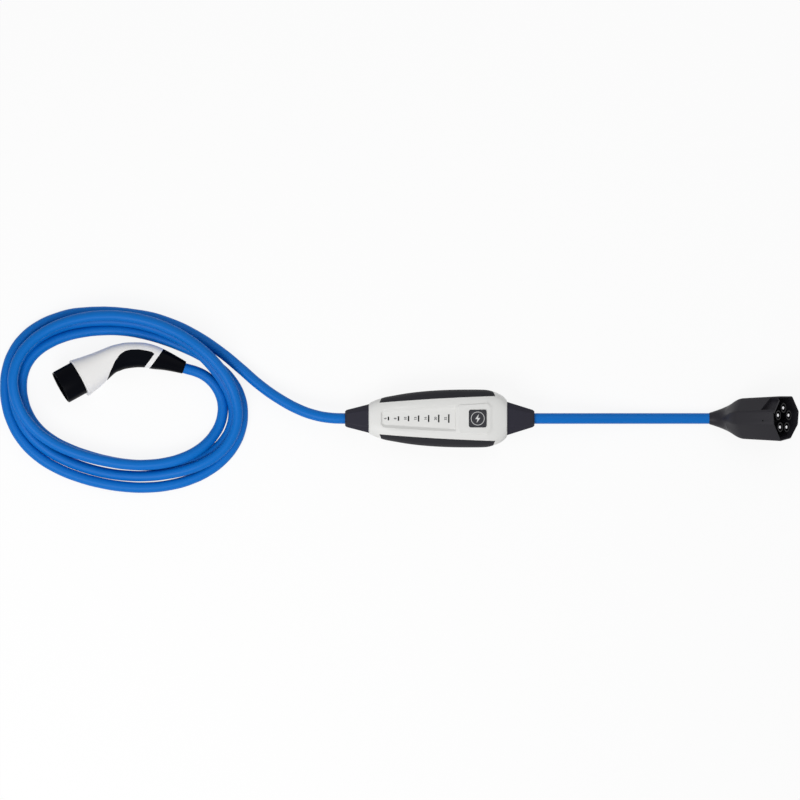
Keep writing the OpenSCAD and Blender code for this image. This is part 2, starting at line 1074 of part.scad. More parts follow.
module plug_insert() {
    tube_end = plug_len - plug_recess;
    color("dimgray")
        plug()
            difference() {
                union() {
                    skin([
                        plug_ring(plug_floor_s + fit, 0.96, 0.99, plug_wall + 0.3),
                        plug_ring(plug_floor_s + plug_plate_t, 0.963, 0.991, plug_wall + 0.3)
                    ]);
                    at_pins(plug_floor_s + 2, tube_end - plug_floor_s - 2, tube_r);
                }
                at_pins(plug_floor_s + plug_plate_t - tube_sink, 60, tube_in_r);
                at_pins(plug_floor_s - past, 60, pin_root_r + fit);
            }
}

module plug_pins() {
    color("silver")
        plug()
            union() {
                at_pins(plug_floor_s + 0.5, plug_plate_t - tube_sink - 0.2, pin_root_r);
                at_pins(plug_floor_s + 0.5, plug_len - plug_recess - plug_floor_s - 0.5, pin_r);
            }
}

// Cables

module supply_cable() {
    color("dodgerblue") tube(supply_route, cable_r);
}

module cable_run() {
    color("dodgerblue") tube(run_route, cable_r);
}

module cable_lead() {
    color("dodgerblue") tube(lead_route, cable_r);
}

function coil_way(t) = unit([-coil_a * sin(t), coil_b * cos(t - coil_slant), 0]);

// Rounded hill along the coil: 1 at its middle, falling to nothing
function hill(t, mid, wide) = exp(-pow((t - mid) / wide, 2));

// How far the turns bulge past the plain oval
function coil_bulge(t) = 5.6 * hill(t, 143, 30) + 9.8 * hill(t, 220, 30);

// Width of the bundle, which is narrower where turns lie on each other
function coil_wide(t) = coil_in + 1.1 - 7 * hill(t, 70, 35) - 9.3 * hill(t, 177, 30);

function coil_point(t) =
    [coil_mid[0] + coil_a * cos(t), coil_mid[1] + coil_b * sin(t - coil_slant), 0]
    - coil_bulge(t) * cross([0, 0, 1], coil_way(t));

function coil_section(t) =
    let (
        k = 0.7 * cable_r,
        end = coil_wide(t),
        far = end - cable_r,
        top = min(2 * lane - cable_r, far - 9),
        rise = cable_r + 12
    )
        [
            [0, cable_r], [cable_r - k, cable_r - k], [cable_r, 0], [far, 0],
            [far + k, cable_r - k], [end, cable_r], [far + k, cable_r + k], [far, cable_d],
            [top + 0.9 * cable_r, cable_d + 1], [top - cable_r + k, rise + k + 1], [cable_d, rise + cable_r],
            [cable_d - k, rise + k], [cable_r, rise], [cable_r - k, cable_r + k]
        ];

module cable_coil() {
    color("dodgerblue")
        skin([
            for (i = [0 : coil_steps - 1])
                let (
                    t = 360 * i / coil_steps,
                    p = coil_point(t),
                    inward = cross([0, 0, 1], coil_way(t))
                )
                    [for (q = coil_section(t)) p + q[0] * inward + [0, 0, q[1]]]
        ], closed = true);
}

upper_shell();
lower_shell();
bumper_far();
bumper_near();
housing_seal();
housing_screws();
gland_vehicle();
gland_supply();
gland_nuts();
light_bars();
indicator_board();
indicator_leds();
mode_button();
switch_dome();
main_board();
relays();
current_sensor();
power_module();
terminal_blocks();
vehicle_cores();
supply_cores();
connector_nose();
contact_carrier();
power_contacts();
signal_contacts();
handle_upper();
handle_lower();
grip_pad();
end_cap();
handle_screws();
plug_tail();
plug_housing();
plug_insert();
plug_pins();
supply_cable();
cable_run();
cable_coil();
cable_lead();
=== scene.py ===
"""Portable vehicle charger: control box, coiled cable, vehicle connector and supply plug."""

import logging
import math
from dataclasses import dataclass, field
from enum import Enum
from typing import Sequence

import bmesh
import bpy
from mathutils import Matrix, Vector


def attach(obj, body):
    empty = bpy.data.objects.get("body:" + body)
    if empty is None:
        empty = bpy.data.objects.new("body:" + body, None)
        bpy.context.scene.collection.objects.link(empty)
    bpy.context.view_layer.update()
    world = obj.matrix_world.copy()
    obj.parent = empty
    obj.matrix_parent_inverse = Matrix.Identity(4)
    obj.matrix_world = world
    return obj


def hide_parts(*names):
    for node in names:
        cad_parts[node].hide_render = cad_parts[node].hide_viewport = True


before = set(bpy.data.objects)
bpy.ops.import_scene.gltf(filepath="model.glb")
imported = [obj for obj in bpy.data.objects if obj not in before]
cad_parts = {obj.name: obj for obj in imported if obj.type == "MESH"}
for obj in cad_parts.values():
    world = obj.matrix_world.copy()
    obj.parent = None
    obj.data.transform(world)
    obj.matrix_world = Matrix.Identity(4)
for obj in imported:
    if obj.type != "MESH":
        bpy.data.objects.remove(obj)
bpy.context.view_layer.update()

logging.basicConfig(level=logging.INFO, format="%(message)s")
log = logging.getLogger("charger")

MM = 0.001
MERGE = 1e-6
FLAT_ANGLE = 0.5
CUT_ANGLE = 28.0
RIM_ANGLE = 60.0
GRAIN_DETAIL = 2
GRAIN_STRENGTH = 0.35
WEAR_CELLS = 34
CHARGER = "charger"
BUTTON = "button"

Point = tuple[float, float, float]
Table = Sequence[tuple[float, float]]


class Grain(Enum):
    """Texture of a moulded surface: cells a metre and depth in metres."""

    SMOOTH = (0.0, 0.0)
    SATIN = (1500.0, 0.00003)
    MATT = (900.0, 0.00006)
    SHEATH = (420.0, 0.00004)


class Zone(Enum):
    """Part of a lofted form that becomes a piece of its own."""

    UPPER = 1
    LOWER = 2
    FAR = 3
    NEAR = 4
    HOLE = 5
    GRIP = 6
    CAP = 7


def linear(colour: tuple[int, int, int]) -> Point:
    """Turns a display colour into the shader's linear one.

    Args:
        colour: red, green and blue from 0 to 255.

    Returns:
        Linear red, green and blue.
    """
    shares = [c / 255 for c in colour]
    return tuple(s / 12.92 if s <= 0.04045 else ((s + 0.055) / 1.055) ** 2.4 for s in shares)


def signed_power(value: float, power: float) -> float:
    """Power of a number's size, with the number's sign."""
    return math.copysign(abs(value) ** power, value)


def along(table: Table, x: float) -> float:
    """Value of a broken line at x.

    Args:
        table: corners of the line, by rising x.
        x: place on it. Past the ends it keeps the end's value.

    Returns:
        The value there.
    """
    if x <= table[0][0]:
        return table[0][1]
    for (xa, a), (xb, b) in zip(table, table[1:]):
        if x <= xb:
            return a + (b - a) * (x - xa) / (xb - xa)
    return table[-1][1]


def flowing(table: Sequence[Sequence[float]], x: float) -> list[float]:
    """Smooth values through a list of stations.

    Args:
        table: stations of x and one or more values, by rising x.
        x: place between them.

    Returns:
        The values at x.
    """
    last = len(table) - 1
    i = next((k for k in range(last) if x <= table[k + 1][0]), last - 1)
    before, a, b, after = (table[min(max(k, 0), last)] for k in (i - 1, i, i + 1, i + 2))
    span = b[0] - a[0]
    t = min(max((x - a[0]) / span, 0.0), 1.0)
    values = []
    for k in range(1, len(a)):
        start = (b[k] - before[k]) / (b[0] - before[0]) * span
        stop = (after[k] - a[k]) / (after[0] - a[0]) * span
        rise = b[k] - a[k]
        square, cube = 3 * rise - 2 * start - stop, start + stop - 2 * rise
        values.append(a[k] + start * t + square * t * t + cube * t**3)
    return values


def soft_min(a: float, b: float, width: float) -> float:
    """Lower of two heights, with the crease between them rounded."""
    share = max(width - abs(a - b), 0.0) / width
    return min(a, b) - share * share * width / 4


def soft_max(a: float, b: float, width: float) -> float:
    """Higher of two heights, with the crease between them rounded."""
    return -soft_min(-a, -b, width)


def beyond(corners: Table, steep: Sequence[float], x: float, y: float) -> float:
    """How far a place lies outside an outline that is alike on both sides of its middle line.

    Args:
        corners: corners on one side, from left to right.
        steep: weight of the distance past each edge, from the left end to the right end.
        x: place along the outline.
        y: place across it.

    Returns:
        The greatest weighted distance past an edge, below 0 inside.
    """
    path = [(corners[0][0], 0.0), *corners, (corners[-1][0], 0.0)]
    reach = []
    for (ax, ay), (bx, by), weight in zip(path, path[1:], steep):
        past = (abs(y) - ay) * (bx - ax) - (x - ax) * (by - ay)
        reach.append(weight * past / math.hypot(bx - ax, by - ay))
    return max(reach)


@dataclass(frozen=True)
class Finish:
    """Surface of one kind of piece."""

    name: str
    slot: str
    colour: tuple[int, int, int]
    roughness: float
    grain: Grain = Grain.SATIN
    metallic: float = 0.0
    specular: float = 0.5
    wear: float = 0.12

    def material(self) -> bpy.types.Material:
        """Makes the material once, and then hands out the same one.

        Returns:
            The finish as a material.
        """
        known = bpy.data.materials.get(self.name)
        if known:
            return known
        made = bpy.data.materials.new(self.name)
        made.use_nodes = True
        tree = made.node_tree
        shader = tree.nodes["Principled BSDF"]
        shader.inputs["Base Color"].default_value = (*linear(self.colour), 1)
        shader.inputs["Metallic"].default_value = self.metallic
        shader.inputs["Specular IOR Level"].default_value = self.specular
        shader.inputs["Roughness"].default_value = self.roughness
        if self.grain is Grain.SMOOTH:
            return made
        cells, depth = self.grain.value
        place = tree.nodes.new("ShaderNodeTexCoord")
        fine = tree.nodes.new("ShaderNodeTexNoise")
        fine.inputs["Scale"].default_value = cells
        fine.inputs["Detail"].default_value = GRAIN_DETAIL
        bump = tree.nodes.new("ShaderNodeBump")
        bump.inputs["Strength"].default_value = GRAIN_STRENGTH
        bump.inputs["Distance"].default_value = depth
        broad = tree.nodes.new("ShaderNodeTexNoise")
        broad.inputs["Scale"].default_value = WEAR_CELLS
        spread = tree.nodes.new("ShaderNodeMapRange")
        spread.inputs["To Min"].default_value = self.roughness * (1 - self.wear)
        spread.inputs["To Max"].default_value = self.roughness * (1 + self.wear)
        tree.links.new(place.outputs["Object"], fine.inputs["Vector"])
        tree.links.new(place.outputs["Object"], broad.inputs["Vector"])
        tree.links.new(fine.outputs["Fac"], bump.inputs["Height"])
        tree.links.new(bump.outputs["Normal"], shader.inputs["Normal"])
        tree.links.new(broad.outputs["Fac"], spread.inputs["Value"])
        tree.links.new(spread.outputs["Result"], shader.inputs["Roughness"])
        return made


BOX_WHITE = Finish("satin white", "white_shell", (226, 226, 224), 0.42, specular=0.3)
HANDLE_WHITE = Finish("handle white", "white_shell", (240, 239, 238), 0.36, specular=0.3)
BUMPER = Finish("bumper rubber", "bumper_rubber", (42, 42, 46), 0.62, Grain.MATT, specular=0.12)
GLAND = Finish("gland plastic", "gland_plastic", (42, 41, 51), 0.5, Grain.MATT, specular=0.12)
BLACK = Finish("black moulding", "black_plastic", (4, 5, 10), 0.32, specular=0.03)
CARRIER = Finish("contact carrier", "black_plastic", (6, 7, 10), 0.85, Grain.MATT, specular=0.0)
GRIP = Finish("grip rubber", "grip", (4, 6, 12), 0.45, Grain.MATT, specular=0.03)
PLUG = Finish("plug anthracite", "plug_plastic", (38, 37, 42), 0.42, Grain.MATT, specular=0.14)
INSERT = Finish("insert black", "plug_plastic", (14, 14, 17), 0.38, specular=0.15)
SHEATH = Finish("blue sheath", "cable_sheath", (4, 108, 196), 0.42, Grain.SHEATH, specular=0.14)
METAL = Finish("silver plate", "contacts", (232, 232, 234), 0.36, Grain.SMOOTH, 0.85)
STEEL = Finish("screw steel", "steel", (150, 152, 156), 0.35, Grain.SMOOTH, 1.0)
KEY = Finish("key grey", "button", (56, 56, 60), 0.46, specular=0.12)
SMOKED = Finish("smoked guide", "light_guide", (10, 10, 12), 0.3, Grain.SMOOTH, specular=0.12)
SIGN = Finish("sign white", "button", (216, 216, 216), 0.5, Grain.SMOOTH, specular=0.2)
FIGURES = Finish("figure grey", "white_shell", (78, 78, 82), 0.6, Grain.SMOOTH, specular=0.1)
SEAL = Finish("seal rubber", "seal", (40, 40, 40), 0.7, Grain.SMOOTH)
BOARD = Finish("board green", "board", (40, 110, 62), 0.5, Grain.SMOOTH)
LAMPS = Finish("lamp cream", "leds", (230, 222, 190), 0.3, Grain.SMOOTH)
MOULDED = Finish("relay black", "electrics", (34, 34, 38), 0.5, Grain.SMOOTH)
TERMINAL = Finish("terminal green", "terminals", (60, 150, 80), 0.5, Grain.SMOOTH)
CORE = Finish("core brown", "cores", (110, 74, 44), 0.5, Grain.SMOOTH)


def face_out(form: bmesh.types.BMesh) -> None:
    """Turns every face outwards."""
    bmesh.ops.recalc_face_normals(form, faces=form.faces[:])


def move(form: bmesh.types.BMesh, matrix: Matrix) -> None:
    """Moves a whole mesh."""
    bmesh.ops.transform(form, matrix=matrix, verts=form.verts[:])


def new_verts(made: dict) -> list[bmesh.types.BMVert]:
    """Vertices among what an operator has just made."""
    return [g for g in made["geom"] if isinstance(g, bmesh.types.BMVert)]


def raise_flat(form: bmesh.types.BMesh, height: float) -> None:
    """Makes a closed block of a flat outline, with its height in millimetres."""
    lifted = new_verts(bmesh.ops.extrude_face_region(form, geom=form.faces[:]))
    bmesh.ops.translate(form, vec=Vector((0, 0, height * MM)), verts=lifted)
    face_out(form)


def flat_outline(corners: Table, level: float = 0.0) -> bmesh.types.BMesh:
    """Fills an outline with one flat face.

    Args:
        corners: its corners in millimetres.
        level: its height in millimetres.

    Returns:
        The flat mesh.
    """
    form = bmesh.new()
    verts = [form.verts.new(Vector((x, y, level)) * MM) for x, y in corners]
    bmesh.ops.contextual_create(form, geom=verts)
    return form


def add_rod(form: bmesh.types.BMesh, radius: float, depth: float, matrix: Matrix, sides: int) -> None:
    """Adds a round rod that lies along its own z axis.

    Args:
        form: the mesh to add to.
        radius: the rod's radius in millimetres.
        depth: its length in millimetres.
        matrix: where its middle stands and how it is turned.
        sides: faces around it.
    """
    bmesh.ops.create_cone(
        form,
        cap_ends=True,
        segments=sides,
        radius1=radius * MM,
        radius2=radius * MM,
        depth=depth * MM,
        matrix=matrix,
    )


def loft(
    rings: Sequence[Sequence[Point]], fill: bool = True
) -> tuple[bmesh.types.BMesh, list[list[bmesh.types.BMVert]]]:
    """Skins a row of rings, each extruded from the one before.

    Args:
        rings: points of each ring in millimetres, all with as many points.
        fill: whether both ends are closed.

    Returns:
        The mesh and its vertices, ring by ring.
    """
    form = bmesh.new()
    ring = bmesh.ops.create_circle(form, segments=len(rings[0]), radius=1.0)["verts"]
    edges = form.edges[:]
    grid = []
    for i, points in enumerate(rings):
        if i:
            made = bmesh.ops.extrude_edge_only(form, edges=edges)
            fresh = set(new_verts(made))
            edges = [g for g in made["geom"] if isinstance(g, bmesh.types.BMEdge)]
            ring = [next(e.other_vert(v) for e in v.link_edges if e.other_vert(v) in fresh) for v in ring]
        for vert, point in zip(ring, points):
            vert.co = Vector(point) * MM
        grid.append(ring)
    if fill:
        bmesh.ops.holes_fill(form, edges=[e for e in form.edges if e.is_boundary], sides=0)
    face_out(form)
    return form, grid


def close_loop(form: bmesh.types.BMesh) -> None:
    """Joins the two open ends of a lofted wall to each other."""
    bmesh.ops.bridge_loops(form, edges=[e for e in form.edges if e.is_boundary])
    face_out(form)


def half_zone(face: bmesh.types.BMFace, level: float) -> int:
    """Number of the upper or lower zone, by a face's middle and the level in metres."""
    return (Zone.UPPER if face.calc_center_median().z > level else Zone.LOWER).value


def take_zone(form: bmesh.types.BMesh, zone: Zone) -> bmesh.types.BMesh:
    """Copies the faces of one zone.

    Args:
        form: a mesh whose faces carry zone numbers.
        zone: the one to keep.

    Returns:
        A new mesh with those faces alone.
    """
    part = form.copy()
    layer = part.faces.layers.int["zone"]
    bmesh.ops.delete(part, geom=[f for f in part.faces if f[layer] != zone.value], context="FACES")
    return part


def put(name: str, data: bpy.types.ID) -> bpy.types.Object:
    """Puts a new object into the scene, at the origin."""
    thing = bpy.data.objects.new(name, data)
    bpy.context.scene.collection.objects.link(thing)
    return thing


def settle(
    form: bmesh.types.BMesh,
    name: str,
    finish: Finish,
    nodes: Sequence[str] = (),
    body: str = CHARGER,
    sharp: float = 32.0,
) -> bpy.types.Object:
    """Makes a finished piece of a mesh.

    Args:
        form: the mesh, in place and in metres. It is freed.
        name: the piece's name.
        finish: its surface.
        nodes: construction nodes that it stands for.
        body: the body that it moves with.
        sharp: angle in degrees past which an edge stays crisp.

    Returns:
        The piece.
    """
    mesh = bpy.data.meshes.new(name)
    form.to_mesh(mesh)
    form.free()
    mesh.materials.append(finish.material())
    mesh.shade_smooth()
    mesh.set_sharp_from_angle(angle=math.radians(sharp))
    piece = put(name, mesh)
    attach(piece, body)
    if nodes:
        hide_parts(*nodes)
    log.info("%s: %d faces", name, len(mesh.polygons))
    return piece


def thicken(piece: bpy.types.Object, depth: float) -> None:
    """Gives a skin its wall, inwards, with depth in millimetres."""
    wall = piece.modifiers.new("wall", "SOLIDIFY")
    wall.thickness = depth * MM
    wall.offset = -1


def soften(piece: bpy.types.Object, width: float, angle: float = 40.0, steps: int = 2) -> None:
    """Rounds the edges that are sharper than an angle.

    Args:
        piece: the piece to round.
        width: width of the rounding in millimetres.
        angle: least angle in degrees.
        steps: faces across the rounding.
    """
    edge = piece.modifiers.new("edge", "BEVEL")
    edge.width = width * MM
    edge.segments = steps
    edge.limit_method = "ANGLE"
    edge.angle_limit = math.radians(angle)
    edge.harden_normals = True


def part_out(
    form: bmesh.types.BMesh, plan: Sequence[tuple], wall: float, sharp: float, rounding: float
) -> None:
    """Makes a walled piece of each zone of a form.

    Args:
        form: a mesh whose faces carry zone numbers. It is freed.
        plan: zone, name, finish and construction node of each piece.
        wall: thickness of the walls in millimetres.
        sharp: angle in degrees past which an edge stays crisp.
        rounding: width of the rounding along the pieces' rims in millimetres.
    """
    for zone, name, finish, node in plan:
        piece = settle(take_zone(form, zone), name, finish, [node], sharp=sharp)
        thicken(piece, wall)
        soften(piece, rounding, RIM_ANGLE)
    form.free()


def from_node(node: str, name: str, finish: Finish) -> bpy.types.Object:
    """Dresses a merged copy of a construction node.

    Args:
        node: the node to copy.
        name: the piece's name.
        finish: its surface.

    Returns:
        The piece that stands for the node.
    """
    form = bmesh.new()
    form.from_mesh(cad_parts[node].data)
    bmesh.ops.remove_doubles(form, verts=form.verts[:], dist=MERGE)
    flat = math.radians(FLAT_ANGLE)
    bmesh.ops.dissolve_limit(form, angle_limit=flat, verts=form.verts[:], edges=form.edges[:])
    return settle(form, name, finish, [node])


def combine(piece: bpy.types.Object, tool: bmesh.types.BMesh, way: str) -> None:
    """Joins a closed shape to a piece or cuts it out, for good.

    Args:
        piece: the piece to change.
        tool: the closed shape. It is freed.
        way: UNION or DIFFERENCE.
    """
    mesh = bpy.data.meshes.new("tool")
    tool.to_mesh(mesh)
    tool.free()
    shape = put("tool", mesh)
    change = piece.modifiers.new("change", "BOOLEAN")
    change.operation = way
    change.solver = "EXACT"
    change.object = shape
    bpy.context.view_layer.update()
    ready = piece.evaluated_get(bpy.context.evaluated_depsgraph_get())
    done = bpy.data.meshes.new_from_object(ready)
    piece.modifiers.remove(change)
    done.name = piece.name
    piece.data = done
    done.set_sharp_from_angle(angle=math.radians(CUT_ANGLE))
    bpy.data.objects.remove(shape)


@dataclass
class PushButton:
    """Square key with a raised frame and a plain bolt sign, in millimetres."""

    x: float = 56.8
    side: float = 26.0
    corner: float = 2.7
    gap: float = 0.35
    top: float = 59.1
    low: float = 46.0
    edge_round: float = 0.3
    frame_width: float = 1.5
    frame_step: float = 0.25
    frame_depth: float = 0.3
    sign_radius: float = 10.2
    sign_inner: float = 0.925
    sign_sink: float = 0.32
    sign_thick: float = 0.12
    bolt: Table = ((1.6, 6.6), (-3.8, -0.9), (-0.4, -0.9), (-1.6, -6.6), (3.8, 0.9), (0.4, 0.9))

    def opening(self) -> tuple[float, float]:
        """Half the side of the opening around the key, and the radius of its corners."""
        return self.side / 2 + self.gap, self.corner + self.gap

    def build_key(self) -> None:
        """Makes the square key with its raised frame."""
        key = bmesh.new()
        bmesh.ops.create_cube(key, size=1.0)
        tall = self.top - self.low
        size = Vector((self.side, self.side, tall)) * MM
        bmesh.ops.scale(key, vec=size, verts=key.verts[:])
        place = Vector((self.x, 0, self.low + tall / 2)) * MM
        bmesh.ops.translate(key, vec=place, verts=key.verts[:])
        upright = [e for e in key.edges if abs(e.verts[0].co.z - e.verts[1].co.z) > MM]
        corner = self.corner * MM
        bmesh.ops.bevel(
            key, geom=upright, offset=corner, affect="EDGES", segments=6, profile=0.5, material=-1
        )
        lid = max(key.faces, key=lambda f: f.calc_center_median().z)
        for width, depth in ((self.frame_width, 0.0), (self.frame_step, -self.frame_depth)):
            bmesh.ops.inset_individual(key, faces=[lid], thickness=width * MM, depth=depth * MM)
        face_out(key)
        soften(settle(key, "mode_key", KEY, ["mode_button"], BUTTON), self.edge_round)

    def build_signs(self) -> None:
        """Prints the ring and the bolt on the key."""
        ring = bmesh.new()
        bmesh.ops.create_circle(ring, segments=64, radius=self.sign_radius * MM)
        inner = new_verts(bmesh.ops.extrude_edge_only(ring, edges=ring.edges[:]))
        bmesh.ops.scale(ring, vec=Vector((self.sign_inner, self.sign_inner, 1)), verts=inner)
        spot = Vector((self.x, 0, self.top - self.sign_sink)) * MM
        for form, name in ((ring, "key_ring"), (flat_outline(self.bolt), "key_bolt")):
            raise_flat(form, self.sign_thick)
            bmesh.ops.translate(form, vec=spot, verts=form.verts[:])
            settle(form, name, SIGN, (), BUTTON)

    def build(self) -> None:
        """Builds the key and prints its signs."""
        self.build_key()
        self.build_signs()


@dataclass
class ControlBox:
    """White box with its bumpers, sunk indicator channel and raised panel, in millimetres."""

    # Outline seen from above
    left: float = -106.6
    right: float = 101.0
    half_width: float = 43.5
    belly_x: float = 45.0
    left_span: float = 165.0
    left_power: float = 2.2
    left_root: float = 0.4
    right_span: float = 63.0
    right_power: float = 4.0
    shoulder_x: float = -92.0
    shoulder_span: float = 14.0
    shoulder_swell: float = 1.7
    # Section and rounded ends
    end_drop: float = 8.0
    drop_reach: float = 104.0
    drop_power: float = 5.0
    end_round: float = 1.8
    end_dome: float = 0.4
    seam: float = 28.5
    top: float = 58.0
    belly_depth: float = 30.0
    square: float = 3.2
    wall: float = 2.2
    rim_round: float = 0.45
    # Edge of the white top and the bumpers below it
    rim_start: float = -90.0
    rim_span: float = 173.0
    rim_left: float = 23.7
    rim_slope: float = 0.0574
    rim_arch: float = 1.1
    bumper_left: float = -90.4
    bumper_right: float = 83.4
    bumper_low: float = 7.0
    lean_left: tuple[float, float] = (0.4, 12.0)
    lean_right: tuple[float, float] = (-0.45, 14.0)
    # Sunk channel of the indicators
    channel_corners: Table = ((-86.0, 7.0), (-83.85, 9.15), (23.5, 16.0))
    channel_steep: tuple[float, ...] = (1.5, 1.1314, 1.0, 4.2)
    channel_brim: Table = ((-89.2, 9.8), (-88.4, 10.2), (-84.9, 12.9), (23.5, 20.2))
    channel_foot: tuple[float, float] = (-88.4, 8.2)
    channel_depth: float = 3.5
    channel_flare: float = 3.8
    channel_sag: float = 1.2
    channel_reach: float = 0.98
    foot_crease: float = 0.5
    brim_crease: float = 0.25
    # Raised panel around the button
    panel_corners: Table = ((27.0, 16.8), (30.0, 19.8), (70.8, 21.6), (75.8, 16.6))
    panel_steep: tuple[float, ...] = (1.0, 1.0, 1.0, 1.0, 1.0)
    panel_top: float = 58.6
    panel_sag: float = 0.85
    panel_lip: float = 1.2
    panel_slope: float = 0.5
    panel_skirt: Table = ((52.0, 9.7), (73.0, 0.55))
    panel_spread: float = 1.6
    # Rings of the mesh and how near its lines may come to each other
    rings: int = 56
    ring_gap: float = 1.1
    ring_fill: tuple[float, ...] = (-87.2, -82.0, -80.0, 24.3, 25.4, 72.4, 77.4)
    crease_gap: float = 0.3
    rim_most: float = 0.82
    brim_most: float = 0.88
    foot_most: float = 0.8
    guide_most: float = 0.92
    button: PushButton = field(default_factory=PushButton)

    def half(self, x: float) -> float:
        """Half width of the box at x."""
        if x < self.belly_x:
            swell = self.shoulder_swell * math.exp(-(((x - self.shoulder_x) / self.shoulder_span) ** 2))
            share = 1 - ((self.belly_x - x) / self.left_span) ** self.left_power
            return self.half_width * share**self.left_root + swell
        return self.half_width * math.sqrt(1 - ((x - self.belly_x) / self.right_span) ** self.right_power)

    def drop(self, x: float) -> float:
        """How far the top has come down, and the underside up, at x."""
        return self.end_drop * (abs(x) / self.drop_reach) ** self.drop_power

    def crown(self, x: float, y: float, inset: float) -> float:
        """Height of the plain top at a place."""
        share = min(abs(y) / (self.half(x) - inset), 1.0)
        up = self.top - self.seam - self.drop(x) - inset
        return self.seam + up * (1 - share**self.square) ** (1 / self.square)

    def floor(self, x: float) -> float:
        """Height of the indicator channel's floor at x."""
        xa, xb = self.channel_corners[0][0], self.channel_corners[-1][0]
        level = self.top - self.channel_depth
        a, b = (level - self.channel_sag * self.drop(self.channel_reach * e) for e in (xa, xb))
        return a + (b - a) * (x - xa) / (xb - xa)

    def channel(self, x: float, y: float) -> float:
        """Height of the channel's floor and its flared walls."""
        out = soft_max(beyond(self.channel_corners, self.channel_steep, x, y), 0.0, self.foot_crease)
        return self.floor(x) + out * self.channel_depth / self.channel_flare

    def panel(self, x: float, y: float) -> float:
        """Height of the raised panel around the button, with its lip and its skirt."""
        out = beyond(self.panel_corners, self.panel_steep, x, y)
        level = self.panel_top - self.panel_sag * self.drop(x)
        lip = level - self.panel_slope * self.panel_lip
        skirt = lip - along(self.panel_skirt, x) * (out - self.panel_lip)
        return min(level - self.panel_slope * max(out, 0.0), skirt)

    def panel_brim(self) -> list[tuple[float, float]]:
        """Corners of the panel, pushed out to the foot of its skirt."""
        spread = self.panel_spread
        return [(x + math.copysign(spread, x - self.button.x), y + spread) for x, y in self.panel_corners]

    def height(self, x: float, y: float) -> float:
        """Height of the box's top with its channel and panel."""
        sunk = soft_min(self.crown(x, y, 0.0), self.channel(x, y), self.brim_crease)
        return max(sunk, self.panel(x, y))

    def hole_line(self, x: float) -> float:
        """Half width of the button's opening at x, with its round corners."""
        reach, corner = self.button.opening()
        inside = reach - abs(x - self.button.x)
        if inside >= corner:
            return reach
        gone = corner - max(inside, 0.0)
        return reach - corner + math.sqrt(max(corner * corner - gone * gone, 0.0))

    def stations(self) -> list[float]:
        """Places along the box where it has a ring, with one at each edge that crosses it."""
        reach, corner = self.button.opening()
        turns = [corner * (1 - math.cos(math.radians(a))) for a in (0, 25, 45, 62, 77, 90)]
        edges = [self.button.x + s * (reach - t) for s in (-1, 1) for t in turns]
        edges += [x for x, _ in (*self.channel_corners, *self.channel_brim, *self.panel_corners)]
        edges += [*self.ring_fill, self.bumper_left, self.bumper_right]
        first, last = self.left + self.end_round, self.right - self.end_round
        plain = [first + (last - first) * i / self.rings for i in range(self.rings + 1)]
        kept = [p for p in plain if all(abs(p - e) > self.ring_gap for e in edges)]
        return sorted(set(edges + kept))

    def rim(self, x: float) -> float:
        """Half width of the white top between the bumpers at x."""
        past = x - self.rim_start
        share = min(max(past / self.rim_span, 0.0), 1.0)
        return self.rim_left + self.rim_slope * past + self.rim_arch * math.sin(math.pi * share)

    def across(self, x: float, rim: float) -> list[float]:
        """Places of a section's points over the top, from the middle to the rim.

        Args:
            x: place along the box.
            rim: half width of the white top there.

        Returns:
            The places, with some at each edge of the button's opening, the channel and the panel.
        """
        foot_line = [self.channel_foot, *self.channel_corners, *self.panel_corners]
        brim = min(along([*self.channel_brim, *self.panel_brim()], x), self.brim_most * rim)
        foot = min(along(foot_line, x), self.foot_most * brim)
        hole = min(self.hole_line(x), self.foot_most * foot)
        gap = self.crease_gap
        places = [hole * s for s in (0, 0.33, 0.67, 1)]
        places += [(hole + foot) / 2, foot - gap, foot, foot + gap]
        places += [foot + (brim - foot) * s for s in (0.35, 0.65)]
        places += [brim - gap, brim, brim + gap]
        return places + [brim + (rim - brim) * s for s in (0.3, 0.55, 0.78, 1.0)]

    def half_ring(self, x: float, inset: float) -> tuple[list[tuple[float, float]], dict[str, int]]:
        """One side of a section, from the middle of the top to the middle of the underside.

        Args:
            x: place along the box.
            inset: how far the section is taken in.

        Returns:
            Points across and up, and the numbers of the points that pieces part at.
        """
        wide = self.half(x) - inset
        up = self.top - self.seam - self.drop(x) - inset
        down = self.belly_depth - self.drop(x) - inset
        power = 2 / self.square
        rim = min(self.rim(x), self.rim_most * wide)
        shape = self.height if inset == 0 else lambda a, b: self.crown(a, b, inset)
        points = [(y, shape(x, y)) for y in self.across(x, rim)]
        marks = {"hole": 3, "rim": len(points) - 1}
        over, under, below = 14, 8, 10
        turn = math.acos(min((rim / wide) ** (1 / power), 1.0))
        for k in range(1, over + 1):
            a = turn * (1 - k / over)
            points.append((wide * math.cos(a) ** power, self.seam + up * math.sin(a) ** power))
        marks["seam"] = len(points) - 1
        guide = max(self.bumper_low, self.seam - self.guide_most * down)
        turn = math.asin(((self.seam - guide) / down) ** (1 / power))
        for k in range(1, under + 1):
            a = turn * k / under
            points.append((wide * math.cos(a) ** power, self.seam - down * math.sin(a) ** power))
        marks["guide"] = len(points) - 1
        edge = points[-1][0]
        for k in range(1, below + 1):
            y = edge * (1 - k / below)
            z = self.seam - down * (1 - (y / wide) ** self.square) ** (1 / self.square)
            points.append((y, max(z, 0.0)))
        return points, marks

